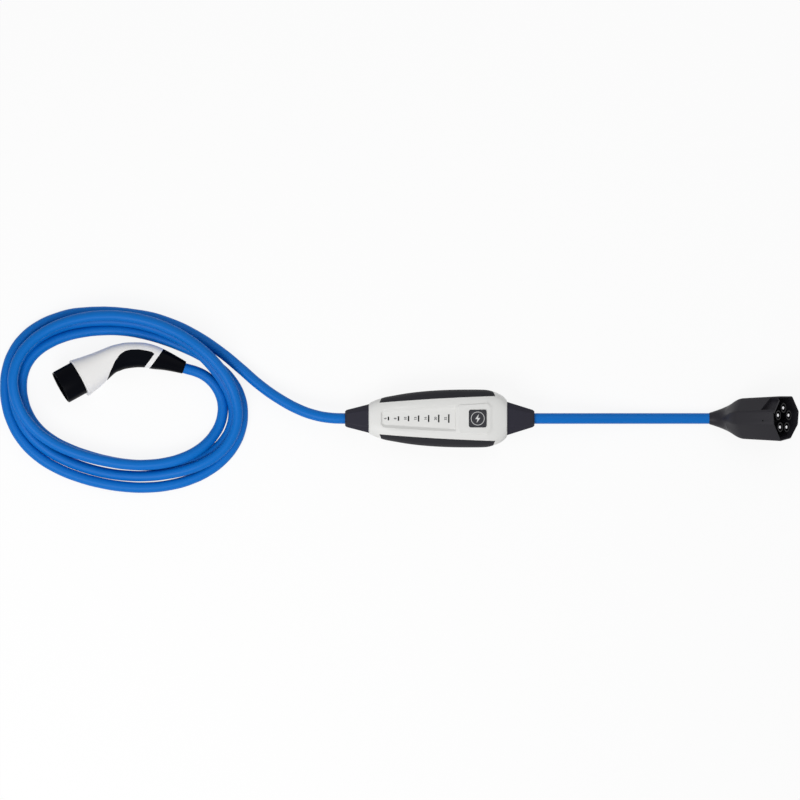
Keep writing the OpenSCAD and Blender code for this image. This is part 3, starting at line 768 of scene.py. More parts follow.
    def ring(self, x: float, inset: float = 0.0, share: float = 1.0, push: float = 0.0) -> list[Point]:
        """Whole section of the box, with the slant of the bumpers' ends.

        Args:
            x: place along the box.
            inset: how far the section is taken in.
            share: size of the section about its middle.
            push: how far it is pushed along the box.

        Returns:
            The ring's points.
        """
        side, marks = self.half_ring(x, inset)
        rim = side[marks["rim"]][0]
        ends = ((self.bumper_left, *self.lean_left), (self.bumper_right, *self.lean_right))
        lean = sum(slant * max(0.0, 1 - abs(x - place) / span) for place, slant, span in ends)
        flat = side + [(-y, z) for y, z in side[-2:0:-1]]
        return [
            (x + push + lean * max(0.0, abs(y) - rim), y * share, self.seam + (z - self.seam) * share)
            for y, z in flat
        ]

    def end_rings(self, end: float, way: int) -> list[list[Point]]:
        """Rings of one domed and rounded end, from its middle outwards.

        Args:
            end: where the end stands.
            way: 1 at the left end, -1 at the right end.

        Returns:
            The rings.
        """
        dome = [(s, -way * self.end_dome * (1 - s * s)) for s in (0.25, 0.6, 0.85)]
        rings = [self.ring(end, self.end_round, share, push) for share, push in dome]
        for angle in (0, 18, 36, 54, 72):
            a = math.radians(angle)
            place = end + way * self.end_round * (1 - math.cos(a))
            rings.append(self.ring(place, self.end_round * (1 - math.sin(a))))
        return rings

    def build_form(self) -> bmesh.types.BMesh:
        """Lofts the whole box and numbers its zones.

        Returns:
            The closed form.
        """
        rings = self.end_rings(self.left, 1)
        first = len(rings)
        places = self.stations()
        rings += [self.ring(x) for x in places]
        rings += reversed(self.end_rings(self.right, -1))
        form, grid = loft(rings)
        self.number_zones(form, grid, first, places)
        return form

    def number_zones(self, form: bmesh.types.BMesh, grid: list, first: int, places: list[float]) -> None:
        """Marks which piece each face belongs to.

        Args:
            form: the lofted box.
            grid: its vertices, ring by ring.
            first: number of the first plain ring.
            places: where the plain rings stand.
        """
        layer = form.faces.layers.int.new("zone")
        marks = self.half_ring(0.0, 0.0)[1]
        count = len(grid[0])
        reach, _ = self.button.opening()
        for face in form.faces:
            face[layer] = half_zone(face, self.seam * MM)
        for i in range(len(grid) - 1):
            inside = first <= i < first + len(places) - 1
            middle = (places[i - first] + places[i - first + 1]) / 2 if inside else math.inf
            for j in range(count):
                k = (j + 1) % count
                face = form.faces.get((grid[i][j], grid[i][k], grid[i + 1][k], grid[i + 1][j]))
                step = j if j < count // 2 else count - 1 - j
                zone = Zone.UPPER if step < marks["seam"] else Zone.LOWER
                if marks["rim"] <= step < marks["guide"] and self.bumper_left < middle < self.bumper_right:
                    zone = Zone.FAR if j < count // 2 else Zone.NEAR
                if step < marks["hole"] and abs(middle - self.button.x) < reach:
                    zone = Zone.HOLE
                face[layer] = zone.value

    def build(self) -> None:
        """Makes the two white shells and the two bumpers out of one form."""
        plan = [
            (Zone.UPPER, "box_top_shell", BOX_WHITE, "upper_shell"),
            (Zone.LOWER, "box_bottom_shell", BOX_WHITE, "lower_shell"),
            (Zone.FAR, "box_bumper_far", BUMPER, "bumper_far"),
            (Zone.NEAR, "box_bumper_near", BUMPER, "bumper_near"),
        ]
        part_out(self.build_form(), plan, self.wall, 24, self.rim_round)


@dataclass
class CableGlands:
    """Faceted gland at each end of the box, with a recess for the cable, in millimetres."""

    box: ControlBox
    halves: tuple[float, float] = (21.4, 25.0)
    height: float = 18.5
    sink: float = 3.0
    end: float = 142.0
    nose: Table = ((-2.5, 13.0), (0.0, 11.0), (0.0, 9.2), (-6.0, 9.0))
    cut: float = 0.42
    edge_round: float = 1.3

    def build(self) -> None:
        """Makes both glands."""
        c = 1 - self.cut
        octagon = [(1, -c), (1, c), (c, 1), (-c, 1), (-1, c), (-1, -c), (-c, -1), (c, -1)]
        ends = [
            ("box_gland_vehicle", "gland_vehicle", -1, -self.box.left),
            ("box_gland_supply", "gland_supply", 1, self.box.right),
        ]
        for (name, node, way, start), wide in zip(ends, self.halves):
            sizes = [(s, wide, self.height) for s in (start - self.sink, start)]
            sizes += [(self.end + s, r, r) for s, r in self.nose]
            rings = [[(way * s, a * w, self.box.seam + b * h) for a, b in octagon] for s, w, h in sizes]
            form, _ = loft(rings)
            soften(settle(form, name, GLAND, [node], sharp=20), self.edge_round, 18, 3)


@dataclass
class Indicators:
    """Seven light guides in the channel and the figure beside each, in millimetres."""

    box: ControlBox
    first: float = -76.9
    pitch: float = 15.06
    width: float = 2.2
    tall: float = 4.0
    proud: float = 0.25
    lengths: tuple[float, float] = (5.6, 12.8)
    edge_round: float = 0.25
    figures: tuple[str, ...] = ("6", "8", "10", "13", "16", "20", "32")
    figure_size: float = 5.0
    figure_back: float = 4.6
    figure_thick: float = 0.05
    figure_bold: float = 0.12
    figure_lift: float = 0.08

    def build(self) -> None:
        """Makes the seven light guides and the figure beside each."""
        bars = bmesh.new()
        short, long = self.lengths
        last = len(self.figures) - 1
        for i, figure in enumerate(self.figures):
            x = self.first + self.pitch * i
            length = short + (long - short) * i / last
            middle = self.box.floor(x) + self.proud - self.tall / 2
            verts = bmesh.ops.create_cube(bars, size=1.0)["verts"]
            bmesh.ops.scale(bars, vec=Vector((self.width, length, self.tall)) * MM, verts=verts)
            bmesh.ops.translate(bars, vec=Vector((x, 0, middle)) * MM, verts=verts)
            self.print_figure(figure, x - self.figure_back)
        soften(settle(bars, "light_guides", SMOKED, ["light_bars"]), self.edge_round)

    def print_figure(self, figure: str, x: float) -> None:
        """Prints one figure on the channel's floor, turned to read from the right.

        Args:
            figure: the number to print.
            x: where its middle stands.
        """
        words = bpy.data.curves.new("figure " + figure, "FONT")
        words.body = figure
        words.size = self.figure_size * MM
        words.align_x = "CENTER"
        words.align_y = "CENTER"
        words.extrude = self.figure_thick * MM
        words.offset = self.figure_bold * MM
        words.resolution_u = 3
        holder = put("figure", words)
        bpy.context.view_layer.update()
        ready = holder.evaluated_get(bpy.context.evaluated_depsgraph_get())
        flat = bpy.data.meshes.new_from_object(ready)
        bpy.data.objects.remove(holder)
        form = bmesh.new()
        form.from_mesh(flat)
        bpy.data.meshes.remove(flat)
        spot = Vector((x, 0, self.box.floor(x) + self.figure_lift)) * MM
        move(form, Matrix.Translation(spot) @ Matrix.Rotation(math.pi / 2, 4, "Z"))
        settle(form, "figure_" + figure, FIGURES)


@dataclass
class VehicleConnector:
    """Connector that lies on its side, drawn along its own spine in millimetres."""

    place: Point = (-568.4, 46.2, 35.4)
    yaw: float = 29.0
    lean: float = 7.5
    # Nose
    nose_radius: float = 27.0
    nose_height: float = 51.4
    nose_length: float = 31.0
    nose_wall: float = 2.6
    nose_sink: float = 4.0
    nose_sides: int = 96
    # Handle
    square: float = 2.7
    rows: int = 72
    sides: int = 40
    wall: float = 2.0
    rim_round: float = 0.4
    front_lip: Table = ((0.0, 3.6), (0.0, 1.1), (0.4, 0.35), (1.2, 0.0))
    end_lip: Table = ((2.0, 0.0), (0.6, 0.06), (0.2, 0.25), (0.0, 0.6))
    # End cap and soft grip
    cap_line: Table = ((164.6, -23.0), (130.8, -38.8))
    grip_gap: float = 7.0
    grip_start: float = 58.0
    grip_least: float = 16.0
    grip_rise: tuple[float, float] = (-0.998, 0.9)
    grip_turn: tuple[float, float] = (50.0, 176.0)
    # Place on the spine, half height, half width and direction of each section
    stations: tuple[tuple[float, ...], ...] = (
        (31, -1, 30, 31.6, 0),
        (42, -1.4, 28, 29.6, -3),
        (56, -1.7, 25.6, 27, -6),
        (72, -1.2, 22.7, 24.4, -10),
        (89, -0.6, 20.4, 22, -16),
        (98, -2.2, 20.1, 20.8, -22),
        (108, -4.8, 19.8, 20, -29),
        (121, -10.6, 19.2, 19.4, -36),
        (130.2, -15.6, 18.9, 18.8, -41),
        (138, -21.3, 18.2, 18, -44),
        (147.4, -30.2, 17.2, 16.6, -46),
        (159.4, -42, 14.2, 14, -47),
        (171, -55.1, 11.2, 11, -47),
        (177.6, -63, 9.8, 9.8, -48),
    )
    grip_line: Table = (
        (57, -27.2), (62, -25.3), (66, -23.2), (69.5, -20.2), (72.5, -17.2), (76.2, -14.2), (88.2, -5.1),
        (100.1, 0.6), (109.4, 1.5), (118.5, -0.9), (129.4, -6.6), (139.2, -14.2), (145, -19.5), (146.2, -23),
        (150, -33), (178, -63.5), (190, -78),
    )

    def matrix(self) -> Matrix:
        """Place of the connector in the part."""
        yaw = Matrix.Rotation(math.radians(self.yaw), 4, "Z")
        lean = Matrix.Rotation(math.radians(self.lean), 4, "Y")
        return Matrix.Translation(Vector(self.place) * MM) @ yaw @ lean

    def edge_number(self) -> int:
        """Number of the point of a section that lies on the grip's edge."""
        return self.sides // 2 * 2 // 3

    def grip_angle(self, station: Sequence[float]) -> float:
        """Where the grip's upper edge crosses a section.

        Args:
            station: place on the spine, half height, half width and direction.

        Returns:
            The angle round the section, in degrees from its top.
        """
        x, y, high, _, way = station
        ux, uy = -math.sin(math.radians(way)), math.cos(math.radians(way))
        least, most = self.grip_turn
        for (ax, ay), (bx, by) in zip(self.grip_line, self.grip_line[1:]):
            cross = ux * (by - ay) - uy * (bx - ax)
            share = ((x - ax) * uy - (y - ay) * ux) / -cross if cross else -1.0
            if 0 <= share <= 1:
                px, py = ax + (bx - ax) * share, ay + (by - ay) * share
                rise = ((px - x) * ux + (py - y) * uy) / high
                rise = min(max(rise, self.grip_rise[0]), self.grip_rise[1])
                angle = math.degrees(math.acos(signed_power(rise, self.square / 2)))
                return min(max(angle, least), most)
        return most

    def handle_ring(self, station: Sequence[float], inset: float = 0.0) -> list[Point]:
        """Section of the handle with points along the grip's edge.

        Args:
            station: place on the spine, half height, half width and direction.
            inset: how far the section is taken in.

        Returns:
            The ring's points.
        """
        x, y, high, wide, way = station
        edge = self.grip_angle(station)
        half, first = self.sides // 2, self.edge_number()
        angles = [edge * k / first for k in range(first)]
        angles += [edge + (180 - edge) * k / (half - first) for k in range(half - first)]
        angles += [180.0] + [360 - a for a in reversed(angles[1:])]
        ring = []
        for angle in angles:
            a = math.radians(angle)
            u = (high - inset) * signed_power(math.cos(a), 2 / self.square)
            v = (wide - inset) * signed_power(math.sin(a), 2 / self.square)
            ring.append((x - u * math.sin(math.radians(way)), y + u * math.cos(math.radians(way)), v))
        return ring

    def build_handle(self) -> None:
        """Makes the two white halves, the soft grip and the end cap out of one form."""
        start, stop = self.stations[0][0], self.stations[-1][0]
        places = [start + (stop - start) * i / self.rows for i in range(self.rows + 1)]
        rows = [[x] + flowing(self.stations, x) for x in places]
        rings = [self.handle_ring([start + ahead] + rows[0][1:], inset) for ahead, inset in self.front_lip]
        first = len(rings)
        rings += [self.handle_ring(r) for r in rows[1:-2]]
        x, y, high, wide, way = rows[-1]
        turn = math.radians(way)
        for back, inset in self.end_lip:
            station = (x - back * math.cos(turn), y - back * math.sin(turn), high, wide, way)
            rings.append(self.handle_ring(station, inset))
        form, grid = loft(rings)
        self.number_zones(form, grid, first)
        move(form, self.matrix())
        plan = [
            (Zone.UPPER, "handle_half_upper", HANDLE_WHITE, "handle_upper"),
            (Zone.LOWER, "handle_half_lower", HANDLE_WHITE, "handle_lower"),
            (Zone.GRIP, "handle_grip", GRIP, "grip_pad"),
            (Zone.CAP, "handle_end_cap", BLACK, "end_cap"),
        ]
        part_out(form, plan, self.wall, 30, self.rim_round)

    def number_zones(self, form: bmesh.types.BMesh, grid: list, first: int) -> None:
        """Cuts the handle's form at its cross lines and marks its zones.

        Args:
            form: the lofted handle.
            grid: its vertices, ring by ring.
            first: number of the first plain ring.
        """
        layer = form.faces.layers.int.new("zone")
        for face in form.faces:
            face[layer] = half_zone(face, 0.0)
        edge = self.edge_number()
        for row, following in zip(grid[first:], grid[first + 1 :]):
            if (row[edge].co - row[-edge].co).length < self.grip_least * MM:
                continue
            for j in range(edge, self.sides - edge):
                face = form.faces.get((row[j], row[j + 1], following[j + 1], following[j]))
                if min(v.co.x for v in face.verts) > self.grip_start * MM:
                    face[layer] = Zone.GRIP.value
        a, b = (Vector((*p, 0)) * MM for p in self.cap_line)
        out = Vector((-(b - a).y, (b - a).x, 0)).normalized()
        gap = self.grip_gap * MM
        for shift in (0.0, -gap):
            everything = form.verts[:] + form.edges[:] + form.faces[:]
            bmesh.ops.bisect_plane(form, geom=everything, dist=MERGE, plane_co=a + out * shift, plane_no=out)
        for face in form.faces:
            reach = (face.calc_center_median() - a).dot(out)
            if reach > 0:
                face[layer] = Zone.CAP.value
            elif reach > -gap:
                face[layer] = half_zone(face, 0.0)

    def nose_ring(self, x: float, inset: float) -> list[Point]:
        """Section of the nose: a round with a flat on one side."""
        middle = self.nose_radius - self.nose_height / 2
        flat = middle + self.nose_height - self.nose_radius - inset
        ring = []
        for k in range(self.nose_sides):
            a = 2 * math.pi * k / self.nose_sides
            y = middle + (self.nose_radius - inset) * math.sin(a)
            ring.append((x, min(y, flat), (self.nose_radius - inset) * math.cos(a)))
        return ring

    def build_nose(self) -> None:
        """Makes the black nose with its rounded lip, and dresses the contacts in it."""
        w = self.nose_wall
        back = self.nose_length + self.nose_sink
        lip = [(1.2, w), (0.35, w - 0.25), (0, w - 0.8), (0.15, 0.95), (0.7, 0.3), (1.6, 0.0)]
        steps = [(30, w), *lip, (back, 0.0), (back, w)]
        form, _ = loft([self.nose_ring(x, inset) for x, inset in steps], fill=False)
        close_loop(form)
        move(form, self.matrix())
        settle(form, "connector_nose_ring", BLACK, ["connector_nose"])
        from_node("contact_carrier", "contact_block", CARRIER)
        from_node("power_contacts", "power_sockets", METAL)
        from_node("signal_contacts", "signal_sockets", METAL)

    def build(self) -> list[str]:
        """Builds the whole connector.

        Returns:
            Names of the pieces that hang on the cable's end.
        """
        self.build_nose()
        self.build_handle()
        return [
            "connector_nose_ring", "contact_block", "power_sockets", "signal_sockets", "handle_half_upper",
            "handle_half_lower", "handle_grip", "handle_end_cap", "handle_screws",
        ]


@dataclass
class SupplyPlug:
    """Faceted plug that lies on its heel with its mouth raised, in millimetres."""

    # Strain relief that bends up from the cable
    tail_x: float = 405.0
    tail_z: float = 8.9
    bend: float = 64.0
    pitch: float = 33.0
    cable_radius: float = 8.0
    neck: float = 16.4
    neck_across: float = 22.4
    neck_up: float = 22.0
    tail_steps: int = 18
    tail_grip: float = 0.93
    sleeve: float = 0.7
    # Faceted housing and its mouth
    corner: float = 0.07
    length: float = 93.0
    shoulder: float = 28.0
    swell: float = 1.8
    across_growth: Table = ((0.0, 0.86), (20.0, 0.9), (93.0, 1.0))
    up_growth: Table = ((0.0, 0.95), (20.0, 0.97), (93.0, 1.04))
    across_size: float = 34.0
    up_size: float = 36.0
    facet_points: int = 8
    lip: Table = ((-1.2, 0.0), (-0.3, 0.2), (0.0, 0.6), (0.0, 1.2), (-0.4, 1.6), (-1.5, 1.8))
    floor: float = 62.0
    floor_inset: float = 4.4
    rim: Table = (
        (36.5, 11), (34, -9), (15, -34), (-14, -29.8), (-34, -9), (-36.5, 11), (-18.5, 33.5), (18.5, 33.5),
    )
    # Keyway and small hole on the upper facets
    key_back: float = 22.0
    key_frame: Table = ((-4.0, -13.0), (19.5, -13.0), (19.5, 12.0), (4.0, 12.0))
    key_frame_levels: tuple[float, float] = (-8.0, -1.6)
    key_slot: Table = ((-0.8, -12.0), (30.0, -12.0), (30.0, 11.0), (6.9, 11.0))
    key_slot_levels: tuple[float, float] = (-5.5, 12.0)
    hole_place: Point = (74.0, -3.0, 35.0)
    hole_radius: float = 1.25
    hole_depth: float = 10.0
    # Pins
    pins: int = 5
    pin_circle: float = 16.0
    pin_radius: float = 2.5
    pin_round: float = 1.1
    pin_seat: float = 0.5
    recess: float = 4.0

    def tail_point(self, angle: float) -> Point:
        """Point on the bend of the plug's tail."""
        a = math.radians(angle)
        return (self.tail_x + self.bend * math.sin(a), 0.0, self.tail_z + self.bend * (1 - math.cos(a)))

    def matrix(self) -> Matrix:
        """Place of the plug in the part."""
        turn = Matrix.Rotation(-math.radians(self.pitch), 4, "Y")
        return Matrix.Translation(Vector(self.tail_point(self.pitch)) * MM) @ turn

    def neck_point(self, angle: float, share: float) -> tuple[float, float]:
        """Point on the oval of the strain relief.

        Args:
            angle: where it lies around the oval, in radians.
            share: 0 at the cable, 1 at the housing.

        Returns:
            Its place across and up.
        """
        small = self.cable_radius + self.sleeve
        radius = small + (self.neck - small) * share
        across = 1 + (self.neck_across / self.neck - 1) * share
        rise = 1 + (self.neck_up / self.neck - 1) * share**2 if math.sin(angle) > 0 else 1.0
        return radius * across * math.cos(angle), radius * rise * math.sin(angle)

    def ring(self, s: float, inset: float, blend: float) -> list[Point]:
        """Section of the housing with rounded corners.

        Args:
            s: place along the plug.
            inset: how far the section is taken in.
            blend: 0 at the oval neck, 1 at the full facets.

        Returns:
            The ring's points.
        """
        share = along(self.across_growth, s) * (1 - inset / self.across_size)
        tall = along(self.up_growth, s) * (1 - inset / self.up_size)
        corners = [Vector((across * share, up * tall)) for up, across in self.rim]
        ring = []
        for k, point in enumerate(corners):
            following = corners[(k + 1) % len(corners)]
            a = point + (corners[k - 1] - point) * self.corner
            b = point + (following - point) * self.corner
            end = following + (point - following) * self.corner
            bend = (0.0, 0.25, 0.5, 0.75, 1.0)
            spots = [a * (1 - t) ** 2 + point * 2 * t * (1 - t) + b * t * t for t in bend]
            spots += [b + (end - b) * t / self.facet_points for t in range(1, self.facet_points)]
            for spot in spots:
                angle = math.atan2(spot.y / self.neck, spot.x / self.neck_across)
                spot = spot * blend + Vector(self.neck_point(angle, 1.0)) * (1 - blend)
                ring.append((s, spot.x, spot.y))
        return ring

    def build_housing(self) -> None:
        """Makes the housing with its mouth and keyway."""
        rings = []
        for at in range(0, int(self.shoulder), 3):
            rings.append(self.ring(at, 0.0, 1 - (1 - at / self.shoulder) ** self.swell))
        steps = [(self.shoulder, 0.0), (self.shoulder + 12, 0.0)]
        steps += [(self.length + ahead, inset) for ahead, inset in self.lip]
        steps += [(self.floor + 1, self.floor_inset)]
        rings += [self.ring(s, inset, 1.0) for s, inset in steps]
        form, _ = loft(rings)
        move(form, self.matrix())
        piece = settle(form, "plug_body", PLUG, ["plug_housing"], sharp=CUT_ANGLE)
        combine(piece, self.keyway(self.key_frame, *self.key_frame_levels), "UNION")
        combine(piece, self.keyway(self.key_slot, *self.key_slot_levels), "DIFFERENCE")
        combine(piece, self.pinhole(), "DIFFERENCE")

    def keyway(self, outline: Table, low: float, high: float) -> bmesh.types.BMesh:
        """Block over the upper facet, where the keyway is.

        Args:
            outline: its corners along the plug and across the facet.
            low: its lower face, from the facet.
            high: its upper face, from the facet.

        Returns:
            The closed block.
        """
        a, b = Vector(self.rim[0]), Vector(self.rim[-1])
        middle = (a + b) / 2
        lean = math.atan2(a.x - b.x, b.y - a.y)
        form = flat_outline(outline, low)
        raise_flat(form, high - low)
        spot = Vector((self.length - self.key_back, middle.y, middle.x)) * MM
        move(form, self.matrix() @ Matrix.Translation(spot) @ Matrix.Rotation(-lean, 4, "X"))
        return form

    def pinhole(self) -> bmesh.types.BMesh:
        """Shape of the small hole on the top facet."""
        form = bmesh.new()
        place = self.matrix() @ Matrix.Translation(Vector(self.hole_place) * MM)
        add_rod(form, self.hole_radius, self.hole_depth, place, 20)
        return form

    def build_tail(self) -> None:
        """Makes the strain relief that flares along the bend."""
        sides = 48
        rings = []
        for i in range(-1, self.tail_steps + 1):
            share = max(i, 0) / self.tail_steps
            x, _, z = self.tail_point(self.pitch * share)
            a = math.radians(self.pitch * share)
            tight = self.tail_grip if i < 0 else 1.0
            oval = [self.neck_point(2 * math.pi * k / sides, share) for k in range(sides)]
            oval = [(tight * across, tight * up) for across, up in oval]
            rings.append([(x - up * math.sin(a), across, z + up * math.cos(a)) for across, up in oval])
        form, _ = loft(rings)
        settle(form, "plug_strain_relief", PLUG, ["plug_tail"])

    def build_pins(self) -> None:
        """Makes the insert's dressing and the five pins with rounded ends."""
        soften(from_node("plug_insert", "plug_core", INSERT), 0.3)
        form = bmesh.new()
        seat = self.floor + self.pin_seat
        tall = self.length - self.recess - seat
        for i in range(self.pins):
            a = math.pi / 2 + 2 * math.pi * i / self.pins
            spot = Vector((seat + tall / 2, self.pin_circle * math.sin(a), self.pin_circle * math.cos(a)))
            place = Matrix.Translation(spot * MM) @ Matrix.Rotation(math.pi / 2, 4, "Y")
            add_rod(form, self.pin_radius, tall, place, 32)
        tip = [e for e in form.edges if all(v.co.x > (self.floor + tall) * MM for v in e.verts)]
        corner = self.pin_round * MM
        bmesh.ops.bevel(form, geom=tip, offset=corner, affect="EDGES", segments=4, profile=0.5, material=-1)
        move(form, self.matrix())
        settle(form, "plug_contact_pins", METAL, ["plug_pins"])

    def build(self) -> list[str]:
        """Builds the whole plug.

        Returns:
            Names of the pieces that hang on the cable's end.
        """
        self.build_housing()
        self.build_tail()
        self.build_pins()
        return ["plug_body", "plug_strain_relief", "plug_core", "plug_contact_pins"]


@dataclass
class Cables:
    """Blue cables: four laid turns to the connector and a short run to the plug, in millimetres."""

    diameter: float = 16.0
    middle: tuple[float, float] = (-472.7, 28.5)
    half_long: float = 185.0
    half_short: float = 140.0
    slant: float = 8.6
    step: float = 11.25
    turns: float = 1338.0
    run: tuple[Point, ...] = (
        (-130, 0, 28.5), (-142, 0, 28.5), (-165, 1, 28), (-187, 5, 26), (-210, 13, 22.5),
        (-240, 29, 17.5), (-270, 50, 13), (-300, 76, 10), (-328, 99, 8.6), (-367, 125, 8), (-405, 143, 8),
        (-449, 155, 8),
    )
    lead: tuple[Point, ...] = (
        (-412, 84.3, 15.3), (-398.6, 80.2, 13.8), (-385.6, 76.2, 12.5), (-376, 73.5, 11.6),
        (-367, 70.9, 10.9), (-354.6, 65.3, 9.9), (-343.8, 57, 9.2), (-335.2, 46.5, 8.7),
        (-329.1, 34.4, 8.3), (-325.9, 21.2, 8.1),
    )
    supply: tuple[Point, ...] = (
        (130, 0, 28.5), (142, 0, 28.5), (165, 0, 28), (195, 0, 25.5), (230, 0, 20.5), (265, 0, 15),
        (300, 0, 11), (335, 0, 9), (370, 0, 8.7), (405, 0, 8.9), (412, 0, 9.3),
    )
    # Height, middle and span in degrees of each bulge of the oval
    swells: tuple[Point, ...] = ((5.6, 143, 30), (9.8, 220, 30))
    # Degrees along the turns, how far inside the oval, and height
    lay: tuple[Point, ...] = (
        (0, 38.4, 8), (11.25, 40.2, 8.4), (22.5, 41.6, 11), (33.75, 42, 16), (45, 42, 21), (58, 42, 24.3),
        (75, 42, 24.4), (90, 41.8, 24.4), (106, 41.6, 24.4), (128, 39, 24), (141, 35, 24.6),
        (150, 31.5, 28), (165, 25.5, 32.2), (180, 20.5, 34.5), (195, 19.4, 34), (210, 20.5, 30.5),
        (225, 20.3, 28.6), (240, 18, 29.4), (262, 14.6, 29.8), (285, 14, 31.8), (300, 15, 35),
        (315, 16, 38.8), (335, 16.3, 34), (350, 16, 28), (362, 15.6, 26), (378, 16.2, 24.2),
        (395, 18.5, 22.2), (410, 22, 20.5), (427, 25, 15), (446, 25, 8.8), (460, 24.3, 8), (475, 24.3, 8),
        (490, 24, 9.8), (510, 22.4, 14.6), (525, 21.1, 17.2), (540, 20.1, 18.5), (555, 20.4, 17.8),
        (570, 22.6, 14.4), (585, 23.2, 12.8), (600, 22.8, 13.6), (615, 22.5, 14.6), (630, 21.6, 16.2),
        (645, 21, 17.8), (660, 21.6, 21), (675, 23, 24.4), (688, 24, 21), (700, 23.4, 16.6),
        (713, 22, 13.4), (724, 22, 11.6), (740, 24, 8.8), (755, 27.4, 8), (770, 32.5, 8), (785, 38, 8),
        (800, 41.4, 8), (812, 42, 8), (825, 42.6, 8), (840, 42.6, 8), (855, 40.2, 8), (870, 36.8, 8),
        (885, 34.2, 8), (900, 32.9, 8), (915, 33.6, 8), (930, 36.1, 8), (945, 38.2, 8), (960, 38, 8),
        (975, 37, 8), (990, 35.2, 8), (1005, 33.8, 8), (1020, 30.5, 8), (1035, 23.5, 8), (1050, 15, 8),
        (1065, 9.4, 8), (1080, 8, 8), (1170, 8, 8), (1260, 8, 8), (1350, 8, 8),
    )

    def bulge(self, turn: float) -> float:
        """How far the turns bulge past the plain oval."""
        t = -turn % 360
        return sum(most * math.exp(-(((t - middle) / span) ** 2)) for most, middle, span in self.swells)

    def coil(self) -> list[Point]:
        """Points of the laid turns, from the connector's lead to the run to the box.

        Returns:
            The points, clockwise seen from above.
        """
        points = []
        turn = 0.0
        while turn < self.turns:
            inward, level = flowing(self.lay, turn)
            inward -= self.bulge(turn)
            t, u = math.radians(-turn), math.radians(-turn - self.slant)
            way = Vector((-self.half_long * math.sin(t), self.half_short * math.cos(u))).normalized()
            x = self.middle[0] + self.half_long * math.cos(t) - way.y * inward
            y = self.middle[1] + self.half_short * math.sin(u) + way.x * inward
            points.append((x, y, level))
            turn += self.step
        return points

    def draw(self, name: str, points: Sequence[Point]) -> tuple[bpy.types.Object, float]:
        """Draws one cable as a smooth round curve.

        Args:
            name: the cable's name.
            points: its route.

        Returns:
            The cable and its length in metres.
        """
        line = bpy.data.curves.new(name, "CURVE")
        line.dimensions = "3D"
        line.bevel_depth = self.diameter / 2 * MM
        line.bevel_resolution = 6
        line.resolution_u = 5
        line.use_fill_caps = True
        spline = line.splines.new("BEZIER")
        spline.bezier_points.add(len(points) - 1)
        for knot, point in zip(spline.bezier_points, points):
            knot.co = Vector(point) * MM
            knot.handle_left_type = "AUTO"
            knot.handle_right_type = "AUTO"
        line.materials.append(SHEATH.material())
        cable = put(name, line)
        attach(cable, CHARGER)
        length = sum((Vector(b) - Vector(a)).length for a, b in zip(points, points[1:])) * MM
        log.info("%s: %.3f m", name, length)
        return cable, length

    def build(self, connector: list[str], plug: list[str]) -> None:
        """Lays both cables.

        Args:
            connector: pieces on the vehicle cable's far end. Not used.
            plug: pieces on the supply cable's far end. Not used.
        """
        route = list(self.run) + list(reversed(list(self.lead) + self.coil()))
        cable, length = self.draw("vehicle_cable", route)
        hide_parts("cable_run", "cable_coil", "cable_lead")
        cable, length = self.draw("supply_lead", self.supply)
        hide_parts("supply_cable")


@dataclass
class InnerParts:
    """Pieces inside the box and the handle, dressed as the construction gives them."""

    def build(self) -> None:
        """Gives each inner node its finish."""
        plan = {
            SEAL: ("housing_seal", "switch_dome"),
            STEEL: ("housing_screws", "handle_screws"),
            GLAND: ("gland_nuts",),
            BOARD: ("main_board", "indicator_board"),
            LAMPS: ("indicator_leds",),
            MOULDED: ("relays", "power_module", "current_sensor"),
            TERMINAL: ("terminal_blocks",),
            CORE: ("vehicle_cores", "supply_cores"),
        }
        for finish, nodes in plan.items():
            for node in nodes:
                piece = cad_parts[node]
                piece.data.materials.clear()
                piece.data.materials.append(finish.material())


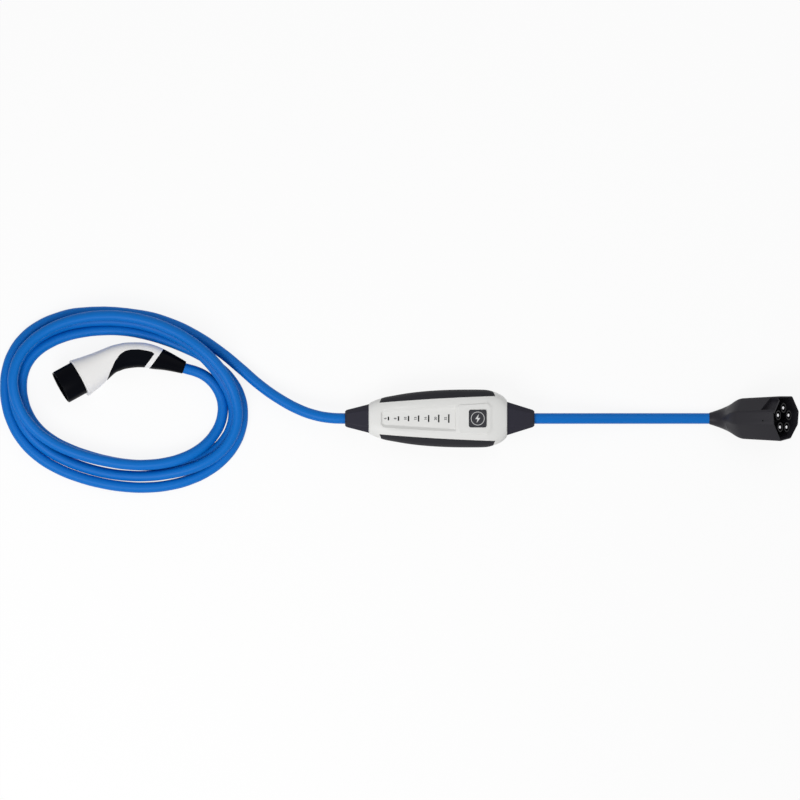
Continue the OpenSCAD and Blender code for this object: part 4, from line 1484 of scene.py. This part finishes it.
@dataclass
class Studio:
    """White floor, soft light and the camera straight above."""

    width: float = 1.2
    lens: float = 500.0
    sensor: float = 36.0
    aim: Point = (-0.0596, 0.02775, 0.03)
    ambient: float = 0.4
    whiteness: float = 0.88
    floor_size: float = 8.0
    floor_level: float = -0.0004
    paint: float = 0.9
    paint_gloss: float = 0.1
    lamps: tuple[tuple[str, Point, float, float], ...] = (
        ("key", (-0.9, -1.0, 1.7), 25, 1.2),
        ("fill", (0.9, 1.0, 2.0), 11, 1.8),
    )

    def add_background(self, tree: bpy.types.NodeTree) -> bpy.types.NodeSocket:
        """Share that is 1 for rays that should see a white background.

        Args:
            tree: the nodes to add to.

        Returns:
            The socket with that share.
        """
        path = tree.nodes.new("ShaderNodeLightPath")
        total = path.outputs["Is Camera Ray"]
        for other in ("Is Glossy Ray", "Is Transmission Ray"):
            join = tree.nodes.new("ShaderNodeMath")
            join.operation = "MAXIMUM"
            tree.links.new(total, join.inputs[0])
            tree.links.new(path.outputs[other], join.inputs[1])
            total = join.outputs[0]
        return total

    def build_world(self) -> None:
        """Sets a soft surrounding light with a white background."""
        world = bpy.data.worlds.new("studio")
        world.use_nodes = True
        bpy.context.scene.world = world
        tree = world.node_tree
        light = tree.nodes["Background"]
        light.inputs["Color"].default_value = (1, 1, 1, 1)
        light.inputs["Strength"].default_value = self.ambient
        white = tree.nodes.new("ShaderNodeBackground")
        white.inputs["Color"].default_value = (1, 1, 1, 1)
        mix = tree.nodes.new("ShaderNodeMixShader")
        tree.links.new(self.add_background(tree), mix.inputs[0])
        tree.links.new(light.outputs[0], mix.inputs[1])
        tree.links.new(white.outputs[0], mix.inputs[2])
        tree.links.new(mix.outputs[0], tree.nodes["World Output"].inputs["Surface"])

    def build_floor(self) -> None:
        """Lays a white floor that keeps a soft shadow."""
        form = bmesh.new()
        bmesh.ops.create_grid(form, x_segments=1, y_segments=1, size=self.floor_size)
        bmesh.ops.translate(form, vec=Vector((0, 0, self.floor_level)), verts=form.verts[:])
        mesh = bpy.data.meshes.new("floor")
        form.to_mesh(mesh)
        form.free()
        paint = bpy.data.materials.new("studio floor")
        paint.use_nodes = True
        tree = paint.node_tree
        shader = tree.nodes["Principled BSDF"]
        shader.inputs["Base Color"].default_value = (self.paint, self.paint, self.paint, 1)
        shader.inputs["Roughness"].default_value = 0.9
        shader.inputs["Specular IOR Level"].default_value = self.paint_gloss
        glow = tree.nodes.new("ShaderNodeEmission")
        share = tree.nodes.new("ShaderNodeMath")
        share.operation = "MULTIPLY"
        share.inputs[1].default_value = self.whiteness
        mix = tree.nodes.new("ShaderNodeMixShader")
        tree.links.new(self.add_background(tree), share.inputs[0])
        tree.links.new(share.outputs[0], mix.inputs[0])
        tree.links.new(shader.outputs[0], mix.inputs[1])
        tree.links.new(glow.outputs[0], mix.inputs[2])
        tree.links.new(mix.outputs[0], tree.nodes["Material Output"].inputs["Surface"])
        mesh.materials.append(paint)
        floor = put("floor", mesh)

    def add_lamp(self, name: str, place: Point, power: float, size: float) -> None:
        """Hangs a soft square lamp that points at the object.

        Args:
            name: the lamp's name.
            place: where it hangs, in metres.
            power: its power in watts.
            size: the side of the square in metres.
        """
        data = bpy.data.lights.new(name, "AREA")
        data.energy = power
        data.size = size
        lamp = put(name, data)
        lamp.location = place
        lamp.rotation_euler = (Vector(self.aim) - Vector(place)).to_track_quat("-Z", "Y").to_euler()

    def build_camera(self) -> None:
        """Sets the camera straight above, on a long lens."""
        data = bpy.data.cameras.new("camera")
        data.lens = self.lens
        data.sensor_width = self.sensor
        data.clip_end = 100
        camera = put("camera", data)
        camera.location = Vector(self.aim) + Vector((0, 0, self.width * self.lens / self.sensor))
        bpy.context.scene.camera = camera

    def build(self) -> None:
        """Sets up the whole studio."""
        bpy.context.scene.view_settings.view_transform = "Standard"
        self.build_world()
        self.build_floor()
        for lamp in self.lamps:
            self.add_lamp(*lamp)
        self.build_camera()


def main() -> None:
    """Builds every piece in order."""
    Studio().build()
    box = ControlBox()
    box.build()
    CableGlands(box).build()
    box.button.build()
    Indicators(box).build()
    connector = VehicleConnector().build()
    plug = SupplyPlug().build()
    Cables().build(connector, plug)
    InnerParts().build()


if __name__ == "__main__":
    main()
